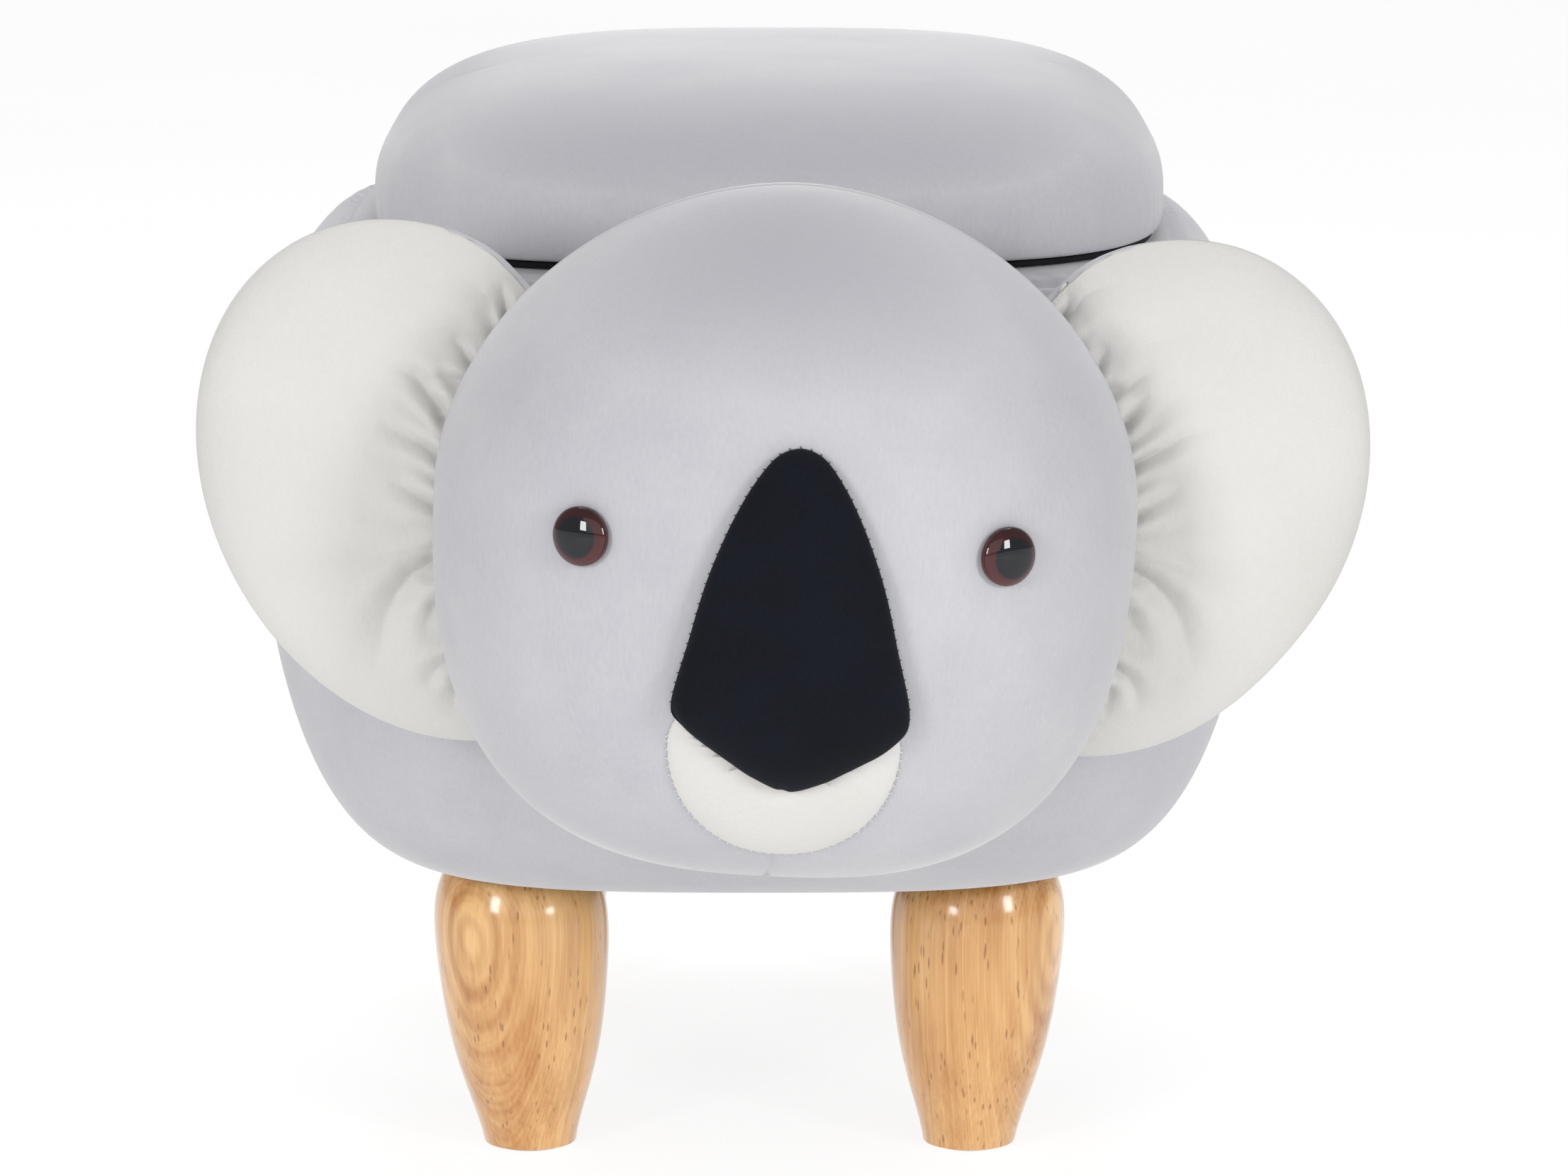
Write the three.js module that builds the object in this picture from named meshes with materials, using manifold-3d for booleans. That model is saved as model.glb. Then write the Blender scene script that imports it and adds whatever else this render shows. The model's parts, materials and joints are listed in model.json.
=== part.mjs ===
// A koala storage footstool: a padded box on four turned legs, with a cushioned lid that lifts
// on two hinges at the back, and a stuffed head with two large ears on the front.
// Millimetres, +Z up, the head looks along -Y, the floor is at Z = 0.

import * as THREE from 'three';
import { mergeVertices } from 'three/addons/utils/BufferGeometryUtils.js';
import Module from 'manifold-3d';

const wasm = await Module();
wasm.setup();

// Clearances
const gap = 0.3;
const overrun = 6;

// Facets of the round forms
const planSteps = 32;
const headSteps = 28;
const earSteps = 28;
const padSteps = 26;
const legSteps = 18;
const hardwareSteps = 12;

// Cloth
const clothThick = 1.6;
const dustCoverThick = 1;
const linerThick = 1.2;
const liningThick = 2.4;

// Legs, glides and their fasteners
const glideThick = 1.4;
const glideRadius = 13;
const glideChamfer = 0.5;
const legLength = 100.6;
const legRadius = 30.8;
const legLean = 1.9;
const legsShift = -3;
// Places of the legs, as shares of the room for their tee nuts inside the box
const frontLegShare = 0.84488;
const rearLegShare = 0.88418;
const legAlongShare = 0.85692;
const legProfilePoints = 10;
const boltRadius = 4;
const boltInLeg = 30;
const teeBarrelRadius = 5.6;
const teeBarrelLength = 10;
const teeFlangeRadius = 11;
const teeFlangeThick = 1.5;
// Height and radius along the turned leg, from its foot to its shoulder
const legOutlineShares = [
  [0, 0.53], [0.2, 0.715], [0.4, 0.875], [0.6, 0.972], [0.77, 1], [0.92, 0.955], [1, 0.83],
];

// Box: base board, wall and rim board
const boxSquareness = 6;
const baseThick = 12;
const wallThick = 8;
const rimThick = 9;

// Padded body. Its plan is longer than it is wide by the same gain all the way up, and the
// belly leads: the sole, the rim and the lid keep their distances to it.
const bodySquareness = 3.4;
const bodyHeight = 217.5;
const bellyRise = 151;
const bellyHalfWidth = 179.5;
const soleInset = 63.5;
const rimFlatInset = 36.5;
const rimInset = 41.5;
const lengthGain = 34;
const soleRoundness = 2.3;
const shoulderRoundness = 2.2;
const turnUnder = 12;
const sideSteps = 6;

// Lid
const lidShift = 4;
const lidHeight = 57.4;
const lidCrestRise = 6;
const lidInset = 38;
const lidLengthGain = 24.5;
const lidTuck = 1.5;
const lidCrownRoundness = 3.3;
const lidSquareness = 3.3;
const lidTurnUnder = 16;
const lidBoardThick = 12;
const lidBoardInset = 3.5;
const liningInset = 7;
const lidSteps = 8;

// Hinges
const hingeAcrossShare = 0.424;
const hingeWidth = 45;
const leafDepth = 22;
const leafThick = 1.2;
const knuckleRadius = 2.2;
const pinRadius = 0.9;
const pinHeadRadius = 1.8;
const pinHeadThick = 1;
const hingeSetBack = 2.4;
const screwHoleRadius = 1.6;
const screwAcrossShare = 0.3;
const knuckleCount = 3;

// Head. It is rounder above its centre than below, and rolls a little to its left.
const headShift = 10;
const headRise = 157.3;
const headSeamDepth = 42.5;
const headRoll = 3;
const headHalfWidth = 115.3;
const headCrownHeight = 102.4;
const headChinDepth = 126.2;
const headCrownSquareness = 1.88;
const headChinSquareness = 2.68;
const headFrontDepth = 90;
const headBackDepth = 76;
const headRoundness = 2.15;
const headRings = 5;

// Face, measured from the centre of the head
const faceShift = 2.8;
const eyeAcrossShare = 0.5828;
const eyeDrop = 3;
const eyeRadius = 9.6;
const eyeBackThick = 2;
const lensHeight = 5.4;
const lensRings = 4;
const shankRadius = 2.6;
const shankLength = 15;
const washerRadius = 9;
const washerThick = 1.6;
const washerSink = 4.2;

// Nose
const noseHalfWidth = 37.7;
const noseHeight = 111.8;
const noseTop = 30.2;
const noseSwell = 13;
const noseRoundness = 2.5;
const noseClothThick = 1.2;
const noseCentreShare = 0.4;
const padRings = 4;
const padLift = 0.5;
// Half width and height of the nose, from its top to its lower tip
const noseOutlineShares = [
  [0, 1], [0.35, 0.925], [0.63, 0.715], [0.84, 0.485],
  [0.99, 0.265], [0.96, 0.165], [0.66, 0.103], [0.3, 0.03],
];

// Plush patch below the nose
const patchHalfWidth = 37.2;
const patchDrop = 68;
const patchDepth = 41;
const patchTuck = 24;
const patchThick = 2.6;

// Ears, leaning outwards from the sides of the head
const earsShift = 8.6;
const earRise = 155.3;
const earForward = 21.5;
const earStandOff = 1.8;
const earRoll = 1.5;
const earLean = 29.2;
const earHalfWidth = 71;
const earHalfHeight = 89.5;
const earFrontSwell = 22;
const earBackSwell = 17;
const earRoundness = 2.3;
const earRings = 4;

// Widths that follow from the belly and the head
const soleHalfWidth = bellyHalfWidth - soleInset;
const rimFlatHalfWidth = bellyHalfWidth - rimFlatInset;
const rimHalfWidth = bellyHalfWidth - rimInset;
const lidHalfWidth = bellyHalfWidth - lidInset;
const lidHalfLength = lidHalfWidth + lidLengthGain;
const hingeAcross = lidHalfWidth * hingeAcrossShare;
const eyeAcross = headHalfWidth * eyeAcrossShare;

// Levels that follow from the sizes above
const legTop = glideThick + legLength;
const coverBottom = legTop + dustCoverThick;
const boardBottom = coverBottom + clothThick;
const baseTop = boardBottom + baseThick;
const coverTop = coverBottom + bodyHeight;
const rimTop = coverTop - clothThick;
const wallTop = rimTop - rimThick;
const bellyLevel = coverBottom + bellyRise;
const shoulderRise = coverTop - bellyLevel;
const boxOuterHalfWidth = soleHalfWidth - gap;
const boxHalfWidth = boxOuterHalfWidth - wallThick;
const linerHalfWidth = boxHalfWidth - gap;
const nutReach = boxHalfWidth - teeFlangeRadius;
const frontLegAcross = nutReach * frontLegShare;
const rearLegAcross = nutReach * rearLegShare;
const legAlong = (nutReach + lengthGain) * legAlongShare;
const linerBottom = baseTop + teeFlangeThick + gap;
const liningBottom = coverTop + gap;
const lidBottom = liningBottom + liningThick;
const lidCrest = lidBottom + lidCrestRise;
const lidCrownRise = lidHeight - lidCrestRise;
const lidBoardBottom = lidBottom + clothThick;
const lidBoardTop = lidBoardBottom + lidBoardThick;
const lidFootHalfWidth = lidHalfWidth - lidTuck;
const lidBoardHalfWidth = lidFootHalfWidth - lidBoardInset;
const bellyHalfLength = bellyHalfWidth + lengthGain;
const hingeLevel = coverTop + leafThick + gap / 2;
const hingeLine = lidHalfLength - lidTuck + knuckleRadius + hingeSetBack;

const quarter = Math.PI / 2;
const degrees = Math.PI / 180;
const ellipse = 2;

const colours = {
  velvet: 0xc6c7cf,
  plush: 0xe8e8e4,
  black: 0x21242e,
  wood: 0xdcae78,
  board: 0xc9a877,
  foam: 0xf0e6c0,
  filling: 0xf4f4f2,
  steel: 0xb9bcc0,
  iris: 0x46232a,
  lens: 0xdfe6ea,
  nylon: 0xd8d8d4,
  liner: 0x30323a,
};

function material(color, roughness, metalness = 0) {
  return new THREE.MeshStandardMaterial({ color, roughness, metalness });
}

const velvet = material(colours.velvet, 0.95);
const plush = material(colours.plush, 1);
const blackCloth = material(colours.black, 0.85);
const lacqueredWood = material(colours.wood, 0.3);
const plainBoard = material(colours.board, 0.8);
const foam = material(colours.foam, 0.95);
const filling = material(colours.filling, 1);
const steel = material(colours.steel, 0.35, 1);
const eyeColour = material(colours.iris, 0.3);
const clearPlastic = material(colours.lens, 0.05);
const nylon = material(colours.nylon, 0.6);
const linerCloth = material(colours.liner, 0.9);

// Solids and their skins

function toSolid(geometry) {
  const bare = geometry.clone();
  bare.deleteAttribute('normal');
  bare.deleteAttribute('uv');
  const merged = mergeVertices(bare);
  return new wasm.Manifold(new wasm.Mesh({
    numProp: 3,
    vertProperties: new Float32Array(merged.attributes.position.array),
    triVerts: new Uint32Array(merged.index.array),
  }));
}

function toGeometry(solid) {
  const mesh = solid.getMesh();
  const geometry = new THREE.BufferGeometry();
  geometry.setAttribute('position', new THREE.BufferAttribute(new Float32Array(mesh.vertProperties), 3));
  geometry.setIndex(new THREE.BufferAttribute(new Uint32Array(mesh.triVerts), 1));
  geometry.computeVertexNormals();
  return geometry;
}

function signedVolume(corners, faces) {
  let volume = 0;
  for (let i = 0; i < faces.length; i += 3) {
    const [a, b, c] = [corners[faces[i]], corners[faces[i + 1]], corners[faces[i + 2]]];
    volume += a.dot(b.clone().cross(c));
  }
  return volume;
}

// Closed skin over a row of rings of points. A ring of one point is a pole, and an end ring of
// more points is closed by a flat cap. A looped row joins its last ring to its first.
function skin(rings, looped = false) {
  const corners = rings.flat();
  const starts = [];
  rings.reduce((start, ring) => {
    starts.push(start);
    return start + ring.length;
  }, 0);
  const faces = [];
  const bands = looped ? rings.length : rings.length - 1;
  for (let i = 0; i < bands; i += 1) {
    const j = (i + 1) % rings.length;
    const steps = Math.max(rings[i].length, rings[j].length);
    for (let k = 0; k < steps; k += 1) {
      const next = (k + 1) % steps;
      const low = rings[i].length === 1 ? [starts[i], starts[i]] : [starts[i] + k, starts[i] + next];
      const high = rings[j].length === 1 ? [starts[j], starts[j]] : [starts[j] + k, starts[j] + next];
      if (low[0] !== low[1]) faces.push(low[0], low[1], high[1]);
      if (high[0] !== high[1]) faces.push(low[0], high[1], high[0]);
    }
  }
  if (!looped) {
    const last = rings.length - 1;
    for (let k = 1; k < rings[0].length - 1; k += 1) faces.push(starts[0], starts[0] + k + 1, starts[0] + k);
    for (let k = 1; k < rings[last].length - 1; k += 1) {
      faces.push(starts[last], starts[last] + k, starts[last] + k + 1);
    }
  }
  if (signedVolume(corners, faces) < 0) faces.reverse();
  const geometry = new THREE.BufferGeometry();
  const positions = corners.flatMap((p) => [p.x, p.y, p.z]);
  geometry.setAttribute('position', new THREE.Float32BufferAttribute(positions, 3));
  geometry.setIndex(faces);
  geometry.computeVertexNormals();
  return geometry;
}

// Point of a rounded outline: the squareness of an ellipse is 2, and more is squarer
function squircle(angle, halfWidth, halfHeight, squareness) {
  const across = Math.cos(angle);
  const up = Math.sin(angle);
  const sum = Math.abs(across) ** squareness + Math.abs(up) ** squareness;
  const reach = 1 / sum ** (1 / squareness);
  return [halfWidth * reach * across, halfHeight * reach * up];
}

function aroundAngles(steps) {
  return Array.from({ length: steps }, (_, k) => (k / steps) * 4 * quarter);
}

// Level ring of the plan, at a height
function planRing(halfWidth, halfLength, height, squareness) {
  return aroundAngles(planSteps).map((angle) => {
    const [x, y] = squircle(angle, halfWidth, halfLength, squareness);
    return new THREE.Vector3(x, y, height);
  });
}

function bodyRing(halfWidth, height, squareness) {
  return planRing(halfWidth, halfWidth + lengthGain, height, squareness);
}

function boxRing(halfWidth, height) {
  return bodyRing(halfWidth, height, boxSquareness);
}

function lidRing(halfWidth, height) {
  return planRing(halfWidth, halfWidth + lidLengthGain, height, lidSquareness);
}

function latheZ(points, steps) {
  const geometry = new THREE.LatheGeometry(points.map(([r, z]) => new THREE.Vector2(r, z)), steps);
  return geometry.rotateX(quarter);
}

function rod(radius, from, to, steps = hardwareSteps) {
  return latheZ([[0, from], [radius, from], [radius, to], [0, to]], steps);
}

function tube(outer, inner, from, to, steps = hardwareSteps) {
  return latheZ([[inner, from], [outer, from], [outer, to], [inner, to], [inner, from]], steps);
}

function boxAt(sizeX, sizeY, sizeZ, x, y, z) {
  return new THREE.BoxGeometry(sizeX, sizeY, sizeZ).translate(x, y, z);
}

function cut(geometry, ...cutters) {
  let solid = toSolid(geometry);
  for (const cutter of cutters) solid = solid.subtract(toSolid(cutter));
  return toGeometry(solid);
}

// What is left of a piece after its neighbours are cut from it, without crumbs
function largest(geometry) {
  const parts = toSolid(geometry).decompose();
  return toGeometry(parts.reduce((best, part) => (part.volume() > best.volume() ? part : best)));
}

function add(parent, name, geometry, look) {
  const mesh = new THREE.Mesh(geometry, look);
  mesh.name = name;
  parent.add(mesh);
  return mesh;
}

// Places of the legs, seen from above with the head at the front

const sides = [{ name: 'left', sign: -1 }, { name: 'right', sign: 1 }];
const legRows = [
  { row: 'front', across: frontLegAcross, y: -legAlong },
  { row: 'rear', across: rearLegAcross, y: legAlong },
];
const legPlaces = legRows.flatMap(({ row, across, y }) => sides.map(({ name, sign }) => (
  { name: `${row}_${name}`, sign, x: legsShift + sign * across, y }
)));

// Body

// Side of the padded body from the edge of its flat underside, round the belly, to the edge of
// its flat rim, as half widths, heights and squarenesses
function bodySide(inset, steps) {
  const side = [];
  for (let i = -steps; i < 0; i += 1) {
    const angle = (quarter * i) / steps;
    const reach = bellyHalfWidth - inset - soleHalfWidth;
    const [out, up] = squircle(angle, reach, bellyRise - inset, soleRoundness);
    const square = bodySquareness + (boxSquareness - bodySquareness) * Math.sin(angle) ** 2;
    side.push([soleHalfWidth + out, bellyLevel + up, square]);
  }
  for (let i = 0; i <= steps; i += 1) {
    const reach = bellyHalfWidth - inset - rimFlatHalfWidth;
    const [out, up] = squircle((quarter * i) / steps, reach, shoulderRise - inset, shoulderRoundness);
    side.push([rimFlatHalfWidth + out, bellyLevel + up, bodySquareness]);
  }
  return side;
}

function bodySideRings(inset, steps) {
  return bodySide(inset, steps).map(([halfWidth, height, square]) => bodyRing(halfWidth, height, square));
}

// The whole body as one block, grown by the clearance that its neighbours keep
function bodyBlock() {
  return skin(bodySideRings(-gap, sideSteps));
}

function hingeAxisRod(radius, length) {
  return rod(radius, -length / 2, length / 2)
    .rotateY(quarter)
    .translate(0, hingeLine, hingeLevel);
}

// Hollows below the two hinge barrels, pressed into the padding
function barrelHollows() {
  return sides.map(({ sign }) => {
    const length = hingeWidth + 2 * pinHeadThick + 4 * gap;
    return hingeAxisRod(knuckleRadius + gap, length).translate(lidShift + sign * hingeAcross, 0, 0);
  });
}

function bodyCover() {
  const outer = bodySideRings(0, sideSteps);
  const inner = bodySideRings(clothThick, sideSteps).reverse();
  const hem = [boxRing(boxHalfWidth, coverTop), boxRing(boxHalfWidth, rimTop)];
  const turnEdge = soleHalfWidth - turnUnder;
  const underside = [boxRing(turnEdge, boardBottom), boxRing(turnEdge, coverBottom)];
  return cut(skin([...outer, ...hem, ...inner, ...underside], true), ...barrelHollows());
}

function bodyFoam() {
  const inset = clothThick + gap;
  const rimEdge = rimHalfWidth + gap;
  const rings = [
    ...bodySideRings(inset, sideSteps / 2),
    bodyRing(rimEdge, coverTop - inset, bodySquareness),
    bodyRing(rimEdge, wallTop - gap, bodySquareness),
    boxRing(soleHalfWidth, wallTop - gap),
  ];
  return skin(rings, true);
}

function baseBoard() {
  const holes = legPlaces.map(({ x, y }) => (
    rod(teeBarrelRadius + gap, boardBottom - overrun, baseTop + overrun).translate(x, y, 0)
  ));
  return cut(skin([boxRing(boxOuterHalfWidth, boardBottom), boxRing(boxOuterHalfWidth, baseTop)]), ...holes);
}

function tubWall() {
  return skin([
    boxRing(boxOuterHalfWidth, baseTop),
    boxRing(boxOuterHalfWidth, wallTop),
    boxRing(boxHalfWidth, wallTop),
    boxRing(boxHalfWidth, baseTop),
  ], true);
}

function rimBoard() {
  return skin([
    bodyRing(rimHalfWidth, wallTop, bodySquareness),
    bodyRing(rimHalfWidth, rimTop, bodySquareness),
    boxRing(boxHalfWidth, rimTop),
    boxRing(boxHalfWidth, wallTop),
  ], true);
}

function storageLiner() {
  const inside = linerHalfWidth - linerThick;
  return skin([
    boxRing(linerHalfWidth, linerBottom),
    boxRing(linerHalfWidth, coverTop),
    boxRing(inside, coverTop),
    boxRing(inside, linerBottom + linerThick),
  ]);
}

function dustCover() {
  const holes = legPlaces.map(({ x, y }) => (
    rod(boltRadius + gap, legTop - overrun, coverBottom + overrun).translate(x, y, 0)
  ));
  return cut(skin([boxRing(boxOuterHalfWidth, legTop), boxRing(boxOuterHalfWidth, coverBottom)]), ...holes);
}

function addBody(parent) {
  add(parent, 'body_cover', bodyCover(), velvet);
  add(parent, 'body_foam', bodyFoam(), foam);
  add(parent, 'base_board', baseBoard(), plainBoard);
  add(parent, 'tub_wall', tubWall(), plainBoard);
  add(parent, 'rim_board', rimBoard(), plainBoard);
  add(parent, 'storage_liner', storageLiner(), linerCloth);
  add(parent, 'dust_cover', dustCover(), blackCloth);
}

// Legs

// The leg leans: its foot stands nearer the middle of the stool than its top, and both ends are level
function turnedLeg(sign) {
  const line = new THREE.SplineCurve(legOutlineShares.map(([height, radius]) => (
    new THREE.Vector2(radius * legRadius, height * legLength)
  )));
  const side = line.getPoints(legProfilePoints).map((p) => [p.x, p.y]);
  const lean = new THREE.Matrix4().makeShear(0, 0, 0, 0, sign * Math.tan(legLean * degrees), 0);
  const leg = latheZ([[0, 0], ...side, [0, legLength]], legSteps)
    .translate(0, 0, -legLength)
    .applyMatrix4(lean)
    .translate(0, 0, legLength);
  return cut(leg, rod(boltRadius + gap, legLength - boltInLeg - gap, legLength + overrun));
}

function legGlide() {
  return latheZ([
    [0, 0],
    [glideRadius - glideChamfer, 0],
    [glideRadius, glideChamfer],
    [glideRadius, glideThick],
    [0, glideThick],
  ], legSteps);
}

function teeNut() {
  const bore = boltRadius + gap;
  return latheZ([
    [bore, -teeBarrelLength],
    [teeBarrelRadius, -teeBarrelLength],
    [teeBarrelRadius, 0],
    [teeFlangeRadius, 0],
    [teeFlangeRadius, teeFlangeThick],
    [bore, teeFlangeThick],
    [bore, -teeBarrelLength],
  ], hardwareSteps);
}

function addLegs(parent) {
  for (const { name, sign, x, y } of legPlaces) {
    const corner = new THREE.Group();
    corner.position.set(x, y, 0);
    parent.add(corner);
    const footX = -sign * legLength * Math.tan(legLean * degrees);
    add(corner, `leg_glide_${name}`, legGlide(), nylon).position.x = footX;
    add(corner, `leg_${name}`, turnedLeg(sign), lacqueredWood).position.z = glideThick;
    add(corner, `leg_bolt_${name}`, rod(boltRadius, legTop - boltInLeg, baseTop), steel);
    add(corner, `leg_tee_nut_${name}`, teeNut(), steel).position.z = baseTop;
  }
}

// Lid

// Side of the lid cushion from its foot, round the crest of its side, to the crown
function lidSide(inset, steps) {
  const side = [];
  for (let i = -steps / 2; i < 0; i += 1) {
    const [out, up] = squircle((2 * quarter * i) / steps, lidTuck, lidCrestRise - inset, ellipse);
    side.push([lidFootHalfWidth - inset + out, lidCrest + up]);
  }
  for (let i = 0; i < steps; i += 1) {
    const reach = lidHalfWidth - inset;
    const [out, up] = squircle((quarter * i) / steps, reach, lidCrownRise - inset, lidCrownRoundness);
    side.push([out, lidCrest + up]);
  }
  return side;
}

function lidCrown(inset, steps) {
  const crown = [new THREE.Vector3(0, 0, lidBottom + lidHeight - inset)];
  return [...lidSide(inset, steps).map(([halfWidth, height]) => crownRing(halfWidth, height, inset)), crown];
}

// Ring of the crown: its length shrinks with its width, so that it closes to a point
function crownRing(halfWidth, height, inset) {
  const share = Math.min(halfWidth / (lidFootHalfWidth - inset), 1);
  return planRing(halfWidth, halfWidth + lidLengthGain * share, height, lidSquareness);
}

function lidCover() {
  const turnEdge = lidFootHalfWidth - lidTurnUnder;
  return skin([
    ...lidCrown(0, lidSteps).reverse(),
    lidRing(turnEdge, lidBottom),
    lidRing(turnEdge, lidBoardBottom),
    ...lidCrown(clothThick, lidSteps),
  ]);
}

function lidFoam() {
  const inset = clothThick + gap;
  const recess = lidBoardHalfWidth + gap;
  return skin([
    ...lidCrown(inset, lidSteps / 2).reverse(),
    lidRing(recess, lidBottom + inset),
    lidRing(recess, lidBoardTop + gap),
  ]);
}

function lidBoard() {
  return skin([lidRing(lidBoardHalfWidth, lidBoardBottom), lidRing(lidBoardHalfWidth, lidBoardTop)]);
}

function lidLining() {
  const halfWidth = lidFootHalfWidth - liningInset;
  const plate = skin([lidRing(halfWidth, liningBottom), lidRing(halfWidth, lidBottom)]);
  const notchDepth = leafDepth + gap + overrun;
  const notches = sides.map(({ sign }) => boxAt(
    hingeWidth + 2 * gap,
    notchDepth,
    liningThick + 2 * overrun,
    sign * hingeAcross,
    hingeLine - knuckleRadius - leafDepth - gap + notchDepth / 2,
    lidBottom,
  ));
  return cut(plate, ...notches);
}

function addLid(parent) {
  const lid = new THREE.Group();
  lid.position.x = lidShift;
  parent.add(lid);
  add(lid, 'lid_cover', lidCover(), velvet);
  add(lid, 'lid_foam', lidFoam(), foam);
  add(lid, 'lid_board', lidBoard(), plainBoard);
  add(lid, 'lid_lining', lidLining(), blackCloth);
}

// Hinges

// Plate of a leaf seen from above, with its screw holes, lying forward of the barrel
function leafPlate() {
  const plate = new THREE.Shape();
  const front = -knuckleRadius - leafDepth;
  const back = -knuckleRadius - gap;
  const pitch = hingeWidth * screwAcrossShare;
  plate.moveTo(-hingeWidth / 2, front).lineTo(hingeWidth / 2, front);
  plate.lineTo(hingeWidth / 2, back).lineTo(-hingeWidth / 2, back);
  for (const place of [-1, 0, 1]) {
    const hole = new THREE.Path();
    hole.absarc(place * pitch, (front + back) / 2, screwHoleRadius, 0, 4 * quarter, true);
    plate.holes.push(hole);
  }
  return new THREE.ExtrudeGeometry(plate, { depth: leafThick, bevelEnabled: false, curveSegments: 2 });
}

// A leaf: its plate with every other knuckle of the barrel. The fixed leaf lies below the pin.
function hingeLeaf(fixed) {
  const level = fixed ? -gap / 2 - leafThick : gap / 2;
  const bore = pinRadius + gap;
  const pitch = hingeWidth / knuckleCount;
  let leaf = toSolid(leafPlate().translate(0, 0, level));
  for (let i = 0; i < knuckleCount; i += 1) {
    if ((i % 2 === 0) !== fixed) continue;
    const middle = (i + 0.5) * pitch - hingeWidth / 2;
    const length = pitch - gap;
    const knuckle = tube(knuckleRadius, bore, -length / 2, length / 2)
      .rotateY(quarter)
      .translate(middle, 0, 0);
    const tongueDepth = knuckleRadius + gap - bore;
    const tongueY = -bore - tongueDepth / 2;
    const tongue = boxAt(length, tongueDepth, leafThick, middle, tongueY, level + leafThick / 2);
    leaf = leaf.add(toSolid(knuckle)).add(toSolid(tongue));
  }
  const clear = rod(bore, -hingeWidth, hingeWidth).rotateY(quarter);
  return toGeometry(leaf.subtract(toSolid(clear)));
}

function hingePin() {
  const end = hingeWidth / 2 + gap;
  const tip = end + pinHeadThick;
  return latheZ([
    [0, -tip], [pinHeadRadius, -tip], [pinHeadRadius, -end], [pinRadius, -end],
    [pinRadius, end], [pinHeadRadius, end], [pinHeadRadius, tip], [0, tip],
  ], hardwareSteps).rotateY(quarter);
}

function addHinges(parent) {
  for (const { name, sign } of sides) {
    const hinge = new THREE.Group();
    hinge.position.set(lidShift + sign * hingeAcross, hingeLine, hingeLevel);
    parent.add(hinge);
    add(hinge, `hinge_fixed_leaf_${name}`, hingeLeaf(true), steel);
    add(hinge, `hinge_moving_leaf_${name}`, hingeLeaf(false), steel);
    add(hinge, `hinge_pin_${name}`, hingePin(), steel);
  }
}

// Head

const headPlace = new THREE.Matrix4()
  .makeRotationY(headRoll * degrees)
  .setPosition(headShift, -bellyHalfLength - headSeamDepth, coverBottom + headRise);

// How far out a face point lies: 0 at the centre of the head and 1 on its outline
function outlineShare(x, z) {
  const square = z > 0 ? headCrownSquareness : headChinSquareness;
  const height = z > 0 ? headCrownHeight : headChinDepth;
  return ((Math.abs(x) / headHalfWidth) ** square + (Math.abs(z) / height) ** square) ** (1 / square);
}

// Front of the head at a face point, measured from its seam
function faceDepth(x, z) {
  const share = Math.min(outlineShare(x, z), 1);
  return -headFrontDepth * (1 - share ** headRoundness) ** (1 / headRoundness);
}

function headOutline(inset) {
  return aroundAngles(headSteps).map((angle) => {
    const crown = Math.sin(angle) > 0;
    const height = crown ? headCrownHeight : headChinDepth;
    const square = crown ? headCrownSquareness : headChinSquareness;
    return squircle(angle, headHalfWidth - inset, height - inset, square);
  });
}

function headBall(inset, rings) {
  const outline = headOutline(inset);
  const front = headFrontDepth - inset;
  const back = headBackDepth - inset;
  const ball = [[new THREE.Vector3(0, -front, 0)]];
  for (let i = 1 - rings; i < rings; i += 1) {
    const [spread, along] = squircle((quarter * i) / rings, 1, 1, headRoundness);
    const depth = along < 0 ? along * front : along * back;
    ball.push(outline.map(([x, z]) => new THREE.Vector3(x * spread, depth, z * spread)));
  }
  ball.push([new THREE.Vector3(0, back, 0)]);
  return skin(ball);
}

// The body in the frame of a piece that is sewn to it
function bodySeenFrom(place) {
  return bodyBlock().applyMatrix4(place.clone().invert());
}

// Direction square to the face at a face point
function faceNormal(x, z) {
  const slopeX = (faceDepth(x + gap, z) - faceDepth(x - gap, z)) / (2 * gap);
  const slopeZ = (faceDepth(x, z + gap) - faceDepth(x, z - gap)) / (2 * gap);
  return new THREE.Vector3(slopeX, -1, slopeZ).normalize();
}

// Point at a height over the face
function overFace(x, z, height) {
  return new THREE.Vector3(x, faceDepth(x, z), z).addScaledVector(faceNormal(x, z), height);
}

// Eyes, standing square to the face

function eyePlaces() {
  return sides.map(({ name, sign }) => {
    const x = faceShift + sign * eyeAcross;
    const normal = faceNormal(x, -eyeDrop);
    const turn = new THREE.Quaternion().setFromUnitVectors(new THREE.Vector3(0, 0, 1), normal);
    return { name, position: overFace(x, -eyeDrop, 0), turn };
  });
}

function eyePockets(radius, depth) {
  return eyePlaces().map(({ position, turn }) => (
    rod(radius, -depth, overrun)
      .applyQuaternion(turn)
      .translate(position.x, position.y, position.z)
  ));
}

function eyeBack() {
  return latheZ([
    [0, -shankLength], [shankRadius, -shankLength], [shankRadius, gap],
    [eyeRadius, gap], [eyeRadius, gap + eyeBackThick], [0, gap + eyeBackThick],
  ], hardwareSteps);
}

function eyeLens() {
  const foot = 2 * gap + eyeBackThick;
  const side = [];
  for (let i = 0; i < lensRings; i += 1) {
    const [radius, rise] = squircle((quarter * i) / lensRings, eyeRadius, lensHeight, ellipse);
    side.push([radius, foot + rise]);
  }
  return latheZ([[0, foot], ...side, [0, foot + lensHeight]], hardwareSteps);
}

function eyeWasher() {
  return tube(washerRadius, shankRadius + gap, -washerSink - washerThick, -washerSink);
}

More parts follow.
